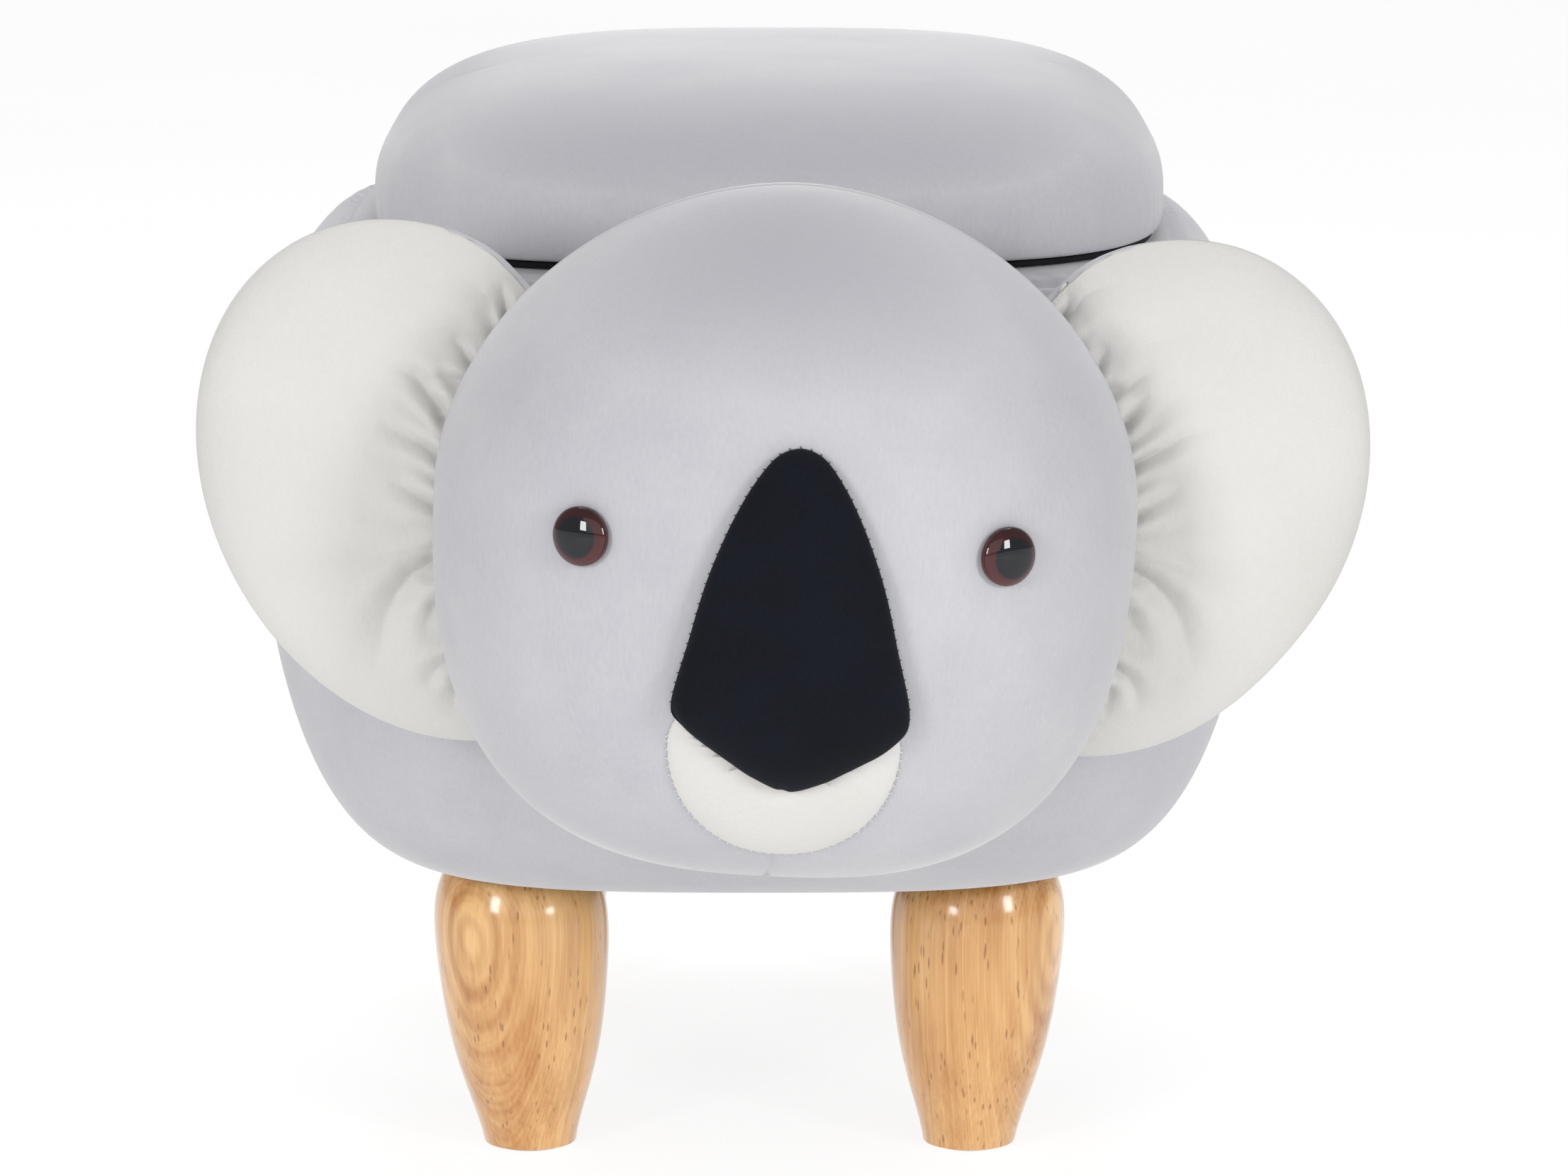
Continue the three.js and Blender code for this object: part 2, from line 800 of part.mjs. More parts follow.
function addEyes(head) {
  for (const { name, position, turn } of eyePlaces()) {
    const eye = new THREE.Group();
    eye.position.copy(position);
    eye.quaternion.copy(turn);
    head.add(eye);
    add(eye, `eye_back_${name}`, eyeBack(), eyeColour);
    add(eye, `eye_lens_${name}`, eyeLens(), clearPlastic);
    add(eye, `eye_washer_${name}`, eyeWasher(), nylon);
  }
}

// Nose and muzzle, padded on the curve of the face

// Outline of the nose about its own centre, grown or shrunk by an inset
function noseOutline(inset) {
  const half = noseOutlineShares.map(([across, up]) => [
    across * (noseHalfWidth - inset),
    (up - noseCentreShare) * (noseHeight - 2 * inset),
  ]);
  const tip = [0, -noseCentreShare * (noseHeight - 2 * inset)];
  const other = half.slice(1).reverse().map(([x, z]) => [-x, z]);
  const points = [...half, tip, ...other].map(([x, z]) => new THREE.Vector3(x, 0, z));
  const curve = new THREE.CatmullRomCurve3(points, true);
  return curve.getSpacedPoints(padSteps).slice(0, padSteps).map((p) => [p.x, p.z]);
}

function patchOutline() {
  return aroundAngles(padSteps).map((angle) => {
    const height = Math.sin(angle) > 0 ? patchTuck : patchDepth;
    return squircle(angle, patchHalfWidth, height, ellipse);
  });
}

// Ring of a pad, a share of its outline wide, at a height over the face
function padRing(outline, centreZ, share, height) {
  return outline.map(([across, up]) => overFace(faceShift + across * share, centreZ + up * share, height));
}

// Dome of a pad from its foot to its crown
function padDome(outline, centreZ, foot, swell) {
  const dome = [];
  for (let i = 0; i < padRings; i += 1) {
    const [share, rise] = squircle((quarter * i) / padRings, 1, swell, noseRoundness);
    dome.push(padRing(outline, centreZ, share, foot + rise));
  }
  dome.push(padRing([[0, 0]], centreZ, 0, foot + swell));
  return dome;
}

// Underside of a pad from its middle to its foot, lying on the face
function padBack(outline, centreZ, foot) {
  const back = [padRing([[0, 0]], centreZ, 0, foot)];
  for (let i = 1; i < padRings; i += 1) back.push(padRing(outline, centreZ, i / padRings, foot));
  return back;
}

const noseCentre = noseTop - noseHeight * (1 - noseCentreShare);

function noseCover() {
  const outer = padDome(noseOutline(0), noseCentre, padLift, noseSwell);
  const inner = padDome(noseOutline(noseClothThick), noseCentre, padLift, noseSwell - noseClothThick);
  return skin([...outer.reverse(), ...inner]);
}

function noseFilling() {
  const outline = noseOutline(noseClothThick + gap);
  const dome = padDome(outline, noseCentre, padLift, noseSwell - noseClothThick - gap);
  return skin([...padBack(outline, noseCentre, padLift), ...dome]);
}

function muzzlePatch() {
  const outline = patchOutline();
  const back = padBack(outline, -patchDrop, padLift);
  const patch = skin([...back, ...padDome(outline, -patchDrop, padLift, patchThick)]);
  const grown = noseOutline(-gap);
  const nose = skin([
    ...padBack(grown, noseCentre, -overrun),
    padRing(grown, noseCentre, 1, -overrun),
    padRing(grown, noseCentre, 1, noseSwell),
  ]);
  return largest(cut(patch, nose));
}

function addHead(parent) {
  const head = new THREE.Group();
  head.applyMatrix4(headPlace);
  parent.add(head);
  const body = bodySeenFrom(headPlace);
  const coverHoles = eyePockets(shankRadius + gap, shankLength + gap);
  const fillingHoles = eyePockets(washerRadius + gap, shankLength + gap);
  const inside = headBall(clothThick, headRings);
  const stuffed = headBall(clothThick + gap, headRings);
  add(head, 'head_cover', largest(cut(headBall(0, headRings), inside, body, ...coverHoles)), velvet);
  add(head, 'head_filling', largest(cut(stuffed, body, ...fillingHoles)), filling);
  add(head, 'nose_cover', noseCover(), blackCloth);
  add(head, 'nose_filling', noseFilling(), filling);
  add(head, 'muzzle_patch', muzzlePatch(), plush);
  addEyes(head);
}

// Ears

// Half of an ear pillow, from the middle of its face to the seam round its edge
function earHalf(swell, inset) {
  const outline = aroundAngles(earSteps).map((angle) => (
    squircle(angle, earHalfWidth - inset, earHalfHeight - inset, ellipse)
  ));
  const half = [[new THREE.Vector3(0, -swell + inset, 0)]];
  for (let i = 1; i <= earRings; i += 1) {
    const [rise, share] = squircle((quarter * i) / earRings, swell - inset, 1, earRoundness);
    half.push(outline.map(([x, z]) => new THREE.Vector3(x * share, -rise, z * share)));
  }
  return half;
}

function moved(rings, y) {
  return rings.map((ring) => ring.map((p) => p.clone().setY(p.y + y)));
}

function mirrored(rings) {
  return rings.map((ring) => ring.map((p) => p.clone().setY(-p.y)));
}

function earPanel(swell) {
  const outer = earHalf(swell, 0);
  const inner = earHalf(swell, clothThick);
  return moved([...outer, ...inner.reverse()], -gap / 2);
}

function earPlace(sign) {
  const group = new THREE.Matrix4()
    .makeRotationY(earRoll * degrees)
    .setPosition(earsShift, -bellyHalfLength - earForward, coverBottom + earRise);
  const own = new THREE.Matrix4()
    .makeRotationY(sign * earLean * degrees)
    .setPosition(sign * (headHalfWidth + earStandOff), 0, 0);
  return group.multiply(own);
}

function addEars(parent) {
  for (const { name, sign } of sides) {
    const place = earPlace(sign);
    const ear = new THREE.Group();
    ear.applyMatrix4(place);
    parent.add(ear);
    const head = headBall(-gap, headRings).applyMatrix4(place.clone().invert().multiply(headPlace));
    const neighbours = [head, bodySeenFrom(place)];
    const inset = clothThick + gap;
    const fillingBack = mirrored(earHalf(earBackSwell, inset)).reverse();
    const pillow = [...earHalf(earFrontSwell, inset), ...fillingBack.slice(1)];
    const front = skin(earPanel(earFrontSwell));
    const back = skin(mirrored(earPanel(earBackSwell)));
    add(ear, `ear_front_panel_${name}`, largest(cut(front, ...neighbours)), plush);
    add(ear, `ear_back_panel_${name}`, largest(cut(back, ...neighbours)), velvet);
    add(ear, `ear_filling_${name}`, largest(cut(skin(pillow), ...neighbours)), filling);
  }
}

// The whole stool, moved so that its origin is the middle of its footprint on the floor

const stool = new THREE.Group();
addBody(stool);
addLegs(stool);
addLid(stool);
addHinges(stool);
addHead(stool);
addEars(stool);

const footstool = new THREE.Group();
footstool.name = 'animal_footstool';
footstool.add(stool);
footstool.updateMatrixWorld(true);
const extent = new THREE.Box3().setFromObject(footstool, true);
stool.position.set(-(extent.min.x + extent.max.x) / 2, -(extent.min.y + extent.max.y) / 2, -extent.min.z);
footstool.updateMatrixWorld(true);

export default footstool;
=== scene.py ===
"""A koala storage footstool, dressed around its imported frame: padded velvet body, lifting lid
cushion, stuffed head with plush ears, turned wooden legs. Metres, in the frame's own axes."""

import json
import math

import bpy
import numpy as np
from bpy.props import FloatProperty, FloatVectorProperty, IntProperty, PointerProperty
from bpy.types import Operator, Panel, PropertyGroup
from mathutils import Matrix, Vector


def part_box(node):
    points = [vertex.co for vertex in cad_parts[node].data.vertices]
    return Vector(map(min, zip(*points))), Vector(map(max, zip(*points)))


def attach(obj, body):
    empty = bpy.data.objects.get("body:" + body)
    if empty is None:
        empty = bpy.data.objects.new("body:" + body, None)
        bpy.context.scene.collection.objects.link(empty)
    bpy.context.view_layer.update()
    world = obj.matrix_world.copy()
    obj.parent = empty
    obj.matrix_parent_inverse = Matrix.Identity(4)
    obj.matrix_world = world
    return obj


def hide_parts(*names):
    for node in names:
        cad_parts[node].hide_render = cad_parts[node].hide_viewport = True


bl_info = {
    "name": "Koala Footstool",
    "version": (1, 0, 0),
    "blender": (4, 5, 0),
    "location": "View3D > Sidebar > Footstool",
    "description": "Builds a padded koala footstool around its packed frame",
    "category": "Object",
}

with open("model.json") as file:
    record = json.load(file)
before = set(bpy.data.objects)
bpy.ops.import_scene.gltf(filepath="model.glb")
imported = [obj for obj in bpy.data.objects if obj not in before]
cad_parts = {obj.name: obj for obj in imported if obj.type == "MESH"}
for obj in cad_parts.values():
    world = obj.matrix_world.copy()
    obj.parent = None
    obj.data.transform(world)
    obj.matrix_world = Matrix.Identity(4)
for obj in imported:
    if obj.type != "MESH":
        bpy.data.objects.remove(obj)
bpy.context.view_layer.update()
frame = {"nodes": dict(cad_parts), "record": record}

STOOL = "stool"
LID = "lid"
SIDES = (("left", -1.0), ("right", 1.0))
MM = 0.001
QUARTER = math.pi / 2
# Room between a cover and the boards in it
GAP = 0.3 * MM
# Frames for which a padded piece is filled as cloth
CLOTH_FRAMES = 20


# Places that follow from the frame


def span(node):
    """Centre and half size of a node's box."""
    low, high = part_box(node)
    return (low + high) / 2, (high - low) / 2


body_centre, body_half = span("body_cover")
body_bottom = body_centre.z - body_half.z
body_top = body_centre.z + body_half.z
lid_centre, lid_half = span("lid_cover")
lid_bottom = lid_centre.z - lid_half.z
lid_top = lid_centre.z + lid_half.z
board_centre, board_half = span("base_board")
_, wall_half = span("tub_wall")
rim_centre, rim_half = span("rim_board")
lid_board_centre, lid_board_half = span("lid_board")


def light(red, green, blue):
    """Linear colour of a colour that is given as it looks on a screen, from 0 to 255."""
    channels = []
    for value in (red / 255, green / 255, blue / 255):
        low = value <= 0.04045
        channels.append(value / 12.92 if low else ((value + 0.055) / 1.055) ** 2.4)
    return tuple(channels)


def length(label, description, millimetres):
    """A length that a user may change, given in millimetres."""
    return FloatProperty(
        name=label, description=description, default=millimetres * MM, subtype="DISTANCE", unit="LENGTH"
    )


def slant(label, description, degrees):
    """An angle that a user may change, given in degrees."""
    return FloatProperty(name=label, description=description, default=math.radians(degrees), subtype="ANGLE")


def colour(label, description, default):
    """A colour that a user may change."""
    return FloatVectorProperty(
        name=label, description=description, default=default, size=3, min=0, max=1, subtype="COLOR"
    )


class FootstoolBody(PropertyGroup):
    """Sizes of the padded body, the lid cushion and the linings."""

    sole_half_width: length("Sole", "Half width of the flat underside", 118.5)
    rim_half_width: length("Rim", "Half width of the flat rim", 143)
    belly_rise: length("Belly", "Height of the widest line over the underside", 151)
    hem_drop: length("Hem", "Thickness of the cover at its turned edges", 1.6)
    seam_half_width: length("Shoulder seam", "Half width of the seam round the shoulder", 151)
    lid_crest: length("Lid crest", "Height of the lid's widest line over its foot", 6)
    lid_tuck: length("Lid tuck", "How far the lid's foot is drawn in", 1.5)
    lining_inset: length("Lining inset", "Bare edge of the lid beside its lining", 1.5)


class FootstoolHead(PropertyGroup):
    """Sizes of the head, its face and its ears."""

    rise: length("Rise", "Height of the head's centre over the body's underside", 157.3)
    shift: length("Shift", "Head's centre, to the right of the body's", 10)
    seam_depth: length("Seam depth", "Head's seam, forward of the body", 42.5)
    roll: slant("Roll", "Roll of the head", 3)
    half_width: length("Half width", "Half width of the head", 115.3)
    crown: length("Crown", "Height of the crown over the head's centre", 102.4)
    chin: length("Chin", "Depth of the chin under the head's centre", 126.2)
    front: length("Front", "How far the face stands forward of the seam", 90)
    back: length("Back", "How far the head reaches back from the seam", 76)
    face_shift: length("Face shift", "Middle of the face, right of the head's centre", 2.8)
    eye_across: length("Eye across", "Each eye's distance from the middle of the face", 67.2)
    eye_drop: length("Eye drop", "Eyes' depth under the head's centre", 3)
    eye_radius: length("Eye radius", "Radius of an eye", 9.6)
    lens_height: length("Lens height", "Height of an eye's glossy dome", 4)
    ear_rise: length("Ear rise", "Height of the ears over the body's underside", 155.3)
    ear_shift: length("Ear shift", "Middle of the ears, right of the body's", 8.6)
    ear_forward: length("Ear forward", "Ears' seam, forward of the body", 21.5)
    ear_across: length("Ear across", "Each ear's distance from the middle", 117.1)
    ear_half_width: length("Ear half width", "Half width of an ear", 73)
    ear_half_height: length("Ear half height", "Half height of an ear", 91.5)
    ear_swell: length("Ear swell", "How far an ear's front stands out", 22)
    ear_back_swell: length("Ear back swell", "How far an ear's back stands out", 17)
    ear_lobe: length("Ear lobe", "How far the top of an ear's join is rounded off", 6)
    ear_lean: slant("Ear lean", "Lean of each ear", 29.2)
    ear_roll: slant("Ear roll", "Roll of both ears", 1.5)


class FootstoolNose(PropertyGroup):
    """Sizes of the nose pad and of the plush patch under it."""

    half_width: length("Half width", "Half width of the nose", 37.7)
    height: length("Height", "Height of the nose", 111.8)
    top: length("Top", "Top of the nose over the head's centre", 30.2)
    swell: length("Swell", "How far the nose stands out of the face", 13)
    patch_half_width: length("Patch half width", "Half width of the patch", 37.2)
    patch_drop: length("Patch drop", "Patch's centre under the head's centre", 68)
    patch_depth: length("Patch depth", "Patch's depth under its own centre", 41)
    patch_thick: length("Patch thickness", "Thickness of the patch", 2.6)
    stitch_pitch: length("Stitch pitch", "Distance from stitch to stitch", 3.4)


class FootstoolLegs(PropertyGroup):
    """Sizes of the turned legs."""

    radius: length("Radius", "Radius of a leg at its shoulder", 30.8)
    sides: IntProperty(name="Sides", description="Facets round a leg", default=72, min=12)
    glide_radius: length("Glide radius", "Radius of the glide under a foot", 13)


class FootstoolColours(PropertyGroup):
    """Colours of the cloths, the wood and the eyes."""

    velvet: colour("Velvet", "Grey velvet", light(189, 189, 192))
    velvet_shade: colour("Velvet shade", "Velvet where its pile lies away", light(176, 176, 182))
    # Painted shade: darker velvet colour for faces that look up and forward, as where less light falls
    velvet_painted_shade: colour("Turned velvet", "Velvet where its pile leans forward", light(150, 150, 157))
    plush: colour("Plush", "White plush", light(205, 204, 201))
    plush_shade: colour("Plush shade", "Plush in its folds", light(199, 197, 193))
    nose: colour("Nose", "Cloth of the nose", light(20, 23, 34))
    black: colour("Black cloth", "Linings and dust cover", light(15, 16, 20))
    liner: colour("Liner", "Cloth inside the box", light(48, 50, 58))
    wood_light: colour("Wood", "Light wood of the legs", light(228, 182, 124))
    wood_dark: colour("Wood grain", "Dark grain of the legs", light(176, 118, 62))
    pore: colour("Pores", "Pores of the wood", light(118, 70, 36))
    iris: colour("Iris", "Iris of the eyes", light(46, 15, 18))
    # Painted light: lighter iris colour for the lower half, where light through the dome falls; the eyes'
    # backs also mix it in at random
    iris_low: colour("Lower iris", "Lower half of the iris", light(76, 32, 33))
    pupil: colour("Pupil", "Pupil of the eyes", light(16, 18, 24))


# Shader nodes as plain sums


class Wire:
    """Output of a shader node, on which Python's operators add Math nodes."""

    def __init__(self, paint, socket):
        self.paint = paint
        self.socket = socket

    def math(self, operation, *others):
        return self.paint.node("ShaderNodeMath", {"operation": operation}, self, *others)

    def __add__(self, other):
        return self.math("ADD", other)

    def __sub__(self, other):
        return self.math("SUBTRACT", other)

    def __mul__(self, other):
        return self.math("MULTIPLY", other)

    def __truediv__(self, other):
        return self.math("DIVIDE", other)

    def __pow__(self, other):
        return self.math("POWER", other)


class Paint:
    """A new material, the scene's colours and the nodes that paint it."""

    def __init__(self, name):
        self.tints = bpy.context.scene.footstool_colours
        self.material = bpy.data.materials.new(name)
        self.material.use_nodes = True
        self.tree = self.material.node_tree
        self.shader = self.tree.nodes["Principled BSDF"]
        self.place = self.node("ShaderNodeTexCoord", {}, out="Object")

    def node(self, kind, settings, *values, out=0, **named):
        """Adds a node: its settings first, then the values or wires of its sockets."""
        node = self.tree.nodes.new(kind)
        for key, value in settings.items():
            setattr(node, key, value)
        for index, value in enumerate(values):
            self.fill(node.inputs[index], value)
        for key, value in named.items():
            self.fill(node.inputs[key.replace("_", " ").title()], value)
        return Wire(self, node.outputs[out])

    def fill(self, socket, value):
        if isinstance(value, Wire):
            self.tree.links.new(value.socket, socket)
        elif value is not None:
            socket.default_value = (*value, 1) if socket.type == "RGBA" and len(value) == 3 else value

    def mapped(self, scale, location=(0, 0, 0)):
        return self.node("ShaderNodeMapping", {}, self.place, location, (0, 0, 0), scale)

    def vector(self, operation, *values):
        out = "Value" if operation == "DOT_PRODUCT" else 0
        return self.node("ShaderNodeVectorMath", {"operation": operation}, *values, out=out)

    def noise(self, place, scale, detail=2.0, rough=0.5, distortion=0.0):
        return self.node(
            "ShaderNodeTexNoise", {},
            Vector=place, Scale=scale, Detail=detail, Roughness=rough, Distortion=distortion,
        )

    def cells(self, place, scale, randomness):
        return self.node("ShaderNodeTexVoronoi", {}, Vector=place, Scale=scale, Randomness=randomness)

    def between(self, value, low, high, to_low=0.0, to_high=1.0):
        return self.node("ShaderNodeMapRange", {"clamp": True}, value, low, high, to_low, to_high)

    def mix(self, share, first, second):
        node = self.tree.nodes.new("ShaderNodeMix")
        node.data_type = "RGBA"
        for index, value in ((0, share), (6, first), (7, second)):
            self.fill(node.inputs[index], value)
        return Wire(self, node.outputs[2])

    def bump(self, height, distance, strength=1.0):
        return self.node("ShaderNodeBump", {}, Strength=strength, Distance=distance, Height=height)

    def finish(self, tint, roughness, relief=None, **fixed):
        """Fills the shader's sockets and gives the material."""
        sockets = {"Base Color": tint, "Roughness": roughness, "Normal": relief}
        for key, value in fixed.items():
            sockets[key.replace("_", " ").title().replace("Ior", "IOR")] = value
        for key, value in sockets.items():
            self.fill(self.shader.inputs[key], value)
        return self.material


def velvet_finish():
    """Short-piled grey velvet: soft clouds where the pile lies over, a fine upright nap, and painted shade on
    faces that look up and forward.
    """
    paint = Paint("velvet")
    clouds = paint.noise(paint.place, 11, 2)
    patches = paint.noise(paint.place, 46, 3, 0.6)
    nap = paint.noise(paint.mapped((1, 1, 0.32)), 900, 2, 0.6)
    grit = paint.noise(paint.place, 2400, 1)
    lie = paint.between(clouds * 0.55 + patches * 0.3 + nap * 0.32, 0.42, 0.76)
    tint = paint.mix(lie, paint.tints.velvet_shade, paint.tints.velvet)
    # Painted shade: cloth whose normal faces up and forward is darkened, as where less light falls
    facing = paint.node("ShaderNodeTexCoord", {}, out="Normal")
    toward = paint.vector("DOT_PRODUCT", facing, (0, -0.6, 0.8))
    painted_shade_share = paint.between(toward + (clouds - 0.5) * 0.1 + (patches - 0.5) * 0.04, 0.84, 1.02)
    tint = paint.mix(painted_shade_share * 0.62, tint, paint.tints.velvet_painted_shade)
    relief = paint.bump(nap * 0.7 + grit * 0.3, 0.25 * MM, 0.55)
    return paint.finish(tint, 0.86, relief, Sheen_Weight=0.45, Sheen_Roughness=0.32, Specular_Ior_Level=0.15)


def plush_finish(name, gain):
    """White plush: a denser, woollier pile, a little warmer in its folds."""
    paint = Paint(name)
    clouds = paint.noise(paint.place, 16, 2)
    tufts = paint.noise(paint.mapped((1, 1, 0.5)), 520, 3, 0.65)
    fluff = paint.noise(paint.place, 1500, 2, 0.6)
    lie = paint.between(clouds * 0.7 + tufts * 0.25 + fluff * 0.2, 0.4, 0.76)
    # A gain above 1 gives a lighter copy of the plush, used as painted light on the patch
    shade, pale = (tuple(c * gain for c in tint) for tint in (paint.tints.plush_shade, paint.tints.plush))
    tint = paint.mix(lie, shade, pale)
    relief = paint.bump(tufts * 0.65 + fluff * 0.35, 0.45 * MM, 0.6)
    return paint.finish(tint, 0.95, relief, Sheen_Weight=0.25, Sheen_Roughness=0.35, Specular_Ior_Level=0.1)


def nose_finish():
    """Deep blue-black brushed cloth."""
    paint = Paint("nose_cloth")
    clouds = paint.noise(paint.place, 30, 2)
    nap = paint.noise(paint.mapped((1, 1, 0.5)), 1200, 2, 0.6)
    lie = paint.between(clouds * 0.5 + nap * 0.5, 0.3, 0.75)
    tint = paint.mix(lie, paint.tints.black, paint.tints.nose)
    relief = paint.bump(nap, 0.12 * MM, 0.6)
    return paint.finish(tint, 0.8, relief, Sheen_Weight=0.02, Sheen_Roughness=0.5, Specular_Ior_Level=0.08)


def felt_finish(name, tint, dots=0.0):
    """Thin black cloth of fused threads, with the dimples of its press where dots is set."""
    paint = Paint(name)
    threads = paint.noise(paint.place, 1400, 3, 0.7)
    broad = paint.noise(paint.place, 60, 2)
    pits = paint.between(paint.cells(paint.place, 520, 0.15), 0.12, 0.4)
    pale = tuple(min(1.0, c * 2.2 + 0.004) for c in tint)
    shade = paint.mix(paint.between(threads * 0.6 + broad * 0.4, 0.35, 0.75), tint, pale)
    relief = paint.bump(threads * (1 - dots) + pits * dots, 0.2 * MM, 0.6)
    return paint.finish(shade, 0.88, relief, Specular_Ior_Level=0.25)


def wood_finish(name, centre, facing, tilt, seed):
    """Lacquered light hardwood: growth rings cut by the turned side, long pores and fine streaks."""
    paint = Paint(name)
    local = paint.mapped((1, 1, 1), (-centre[0], -centre[1], -centre[2]))
    turned = paint.node(
        "ShaderNodeVectorRotate", {"rotation_type": "EULER_XYZ"}, Vector=local, Rotation=(tilt, 0, -facing)
    )

    def stretched(share):
        return paint.vector("MULTIPLY", turned, (1, 1, share))

    axes = paint.node("ShaderNodeSeparateXYZ", {}, turned).socket.node.outputs
    across, out, up = (Wire(paint, socket) for socket in axes)
    wander = paint.noise(stretched(0.3), 22, 2, 0.5)
    depth = out + (across * across) * 2.2 + (wander - 0.5) * 0.007 + up * seed * 0.01
    rings = (depth * (5600 + 500 * seed)).math("SINE") * 0.5 + 0.5
    band = paint.noise(paint.node("ShaderNodeCombineXYZ", {}, 0.0, depth, 0.0), 430 + 50 * seed, 3, 0.65)
    streaks = paint.noise(stretched(0.03), 700, 3, 0.6)
    broad = paint.noise(stretched(0.22), 50 + 9 * seed, 2)
    oval = ((across / (11 * MM)) ** 2.0 + (up / (20 * MM)) ** 2.0) ** 0.5
    heart = paint.between(oval, 0.5, 1.2, 0.16, 0)
    loops = ((oval + (wander - 0.5) * 0.5) * 11).math("SINE") * paint.between(oval, 0.9, 3.2, 0.1, 0)
    figure = rings * 0.05 + band * 0.46 + streaks * 0.36 + broad * 0.85 + heart + loops
    body = paint.mix(paint.between(figure, 0.6, 1.08), paint.tints.wood_dark, paint.tints.wood_light)
    slots = stretched(0.16)
    flecks = paint.between(paint.cells(slots, 560, 1), 0.15, 0.27, 1, 0)
    thin = paint.between(paint.noise(slots, 150, 2, 0.6), 0.5 - 0.07 * seed, 0.6 - 0.07 * seed)
    pores = flecks * thin
    tint = paint.mix(pores * 0.6, body, paint.tints.pore)
    rough = paint.between(streaks, 0.3, 0.7, 0.3, 0.42)
    relief = paint.bump(streaks * 0.5 - pores, 0.05 * MM, 0.5)
    return paint.finish(tint, rough, relief, Coat_Weight=1.0, Coat_Roughness=0.15, Specular_Ior_Level=0.2)


def board_finish():
    """Bare plywood: pale face grain with fine checks."""
    paint = Paint("board")
    grain = paint.noise(paint.mapped((1, 0.06, 1)), 260, 4, 0.65, 0.4)
    broad = paint.noise(paint.mapped((1, 0.2, 1)), 24, 2, 0.6, 0.8)
    figure = paint.between(grain * 0.6 + broad * 0.5, 0.4, 0.72)
    tint = paint.mix(figure, light(168, 130, 84), light(212, 180, 132))
    return paint.finish(tint, 0.72, paint.bump(grain, 0.15 * MM, 0.5), Specular_Ior_Level=0.25)


def steel_finish():
    """Zinc-plated pressed steel, faintly brushed and spotted."""
    paint = Paint("steel")
    brushed = paint.noise(paint.mapped((0.04, 1, 1)), 1500, 2, 0.6)
    spots = paint.noise(paint.place, 90, 3, 0.6)
    tint = paint.mix(paint.between(spots, 0.35, 0.7), light(150, 152, 156), light(198, 200, 204))
    rough = paint.between(brushed * 0.6 + spots * 0.4, 0.3, 0.7, 0.24, 0.46)
    return paint.finish(tint, rough, paint.bump(brushed, 0.02 * MM, 0.5), Metallic=1.0)


def nylon_finish():
    """Off-white moulded nylon with a fine eggshell skin."""
    paint = Paint("nylon")
    skin = paint.noise(paint.place, 1800, 2)
    broad = paint.noise(paint.place, 70, 2)
    tint = paint.mix(paint.between(broad, 0.35, 0.65), light(206, 205, 198), light(224, 223, 217))
    return paint.finish(tint, 0.5, paint.bump(skin, 0.04 * MM, 0.5))


def thread_finish(name, tint):
    """Twisted sewing thread."""
    paint = Paint(name)
    twist = paint.noise(paint.place, 3200, 2)
    pale = tuple(min(1.0, c * 1.25 + 0.003) for c in tint)
    shade = paint.mix(paint.between(twist, 0.3, 0.7), tint, pale)
    return paint.finish(shade, 0.7, paint.bump(twist, 0.08 * MM, 0.5))


def eye_finish(centre, axis_x, axis_z, radius, shift):
    """Glossy eye: black pupil in a dark red-brown iris, with painted light on its lower half."""
    paint = Paint("eye_lens")
    local = paint.vector("SUBTRACT", paint.place, tuple(centre))
    across, up = (paint.vector("DOT_PRODUCT", local, tuple(axis)) for axis in (axis_x, axis_z))
    aside = across - shift * radius
    reach = ((aside * aside + up * up) ** 0.5) / radius
    mottle = paint.noise(paint.place, 700, 3, 0.6)
    # Painted light: the lower half of the iris is lightened, as where light through a clear dome falls
    low = paint.between(up / radius + (mottle - 0.5) * 0.3, 0.6, -0.9)
    ring = paint.mix(low, paint.tints.iris, paint.tints.iris_low)
    pupil_edge = paint.between(reach + (mottle - 0.5) * 0.03, 0.66, 0.74)
    tint = paint.mix(pupil_edge, paint.tints.pupil, ring)
    return paint.finish(tint, 0.3, Coat_Weight=1.0, Coat_Roughness=0.02, Coat_Ior=1.5, Specular_Ior_Level=0.0)


def shank_finish():
    """Dark red-brown moulded plastic of the eyes' backs."""
    paint = Paint("eye_colour")
    skin = paint.noise(paint.place, 900, 2)
    tint = paint.mix(paint.between(skin, 0.3, 0.7), paint.tints.iris, paint.tints.iris_low)
    return paint.finish(tint, 0.3, paint.bump(skin, 0.02 * MM, 0.3))


def floor_finish():
    """Pale studio floor."""
    paint = Paint("floor")
    broad = paint.noise(paint.place, 1.5, 2)
    tint = paint.mix(paint.between(broad, 0.3, 0.7), (0.17, 0.17, 0.17), (0.19, 0.19, 0.19))
    return paint.finish(tint, 0.7, Emission_Color=(1, 1, 1), Emission_Strength=0.87, Specular_Ior_Level=0.1)


# Working on meshes


def alone(piece):
    """Makes a piece the only selected one."""
    bpy.ops.object.select_all(action="DESELECT")
    piece.select_set(True)
    bpy.context.view_layer.objects.active = piece
    return piece


def points(piece):
    """Places of a piece's vertices."""
    flat = np.empty(len(piece.data.vertices) * 3)
    piece.data.vertices.foreach_get("co", flat)
    return flat.reshape(-1, 3)


def place_points(piece, places):
    piece.data.vertices.foreach_set("co", np.asarray(places, float).ravel())
    piece.data.update()


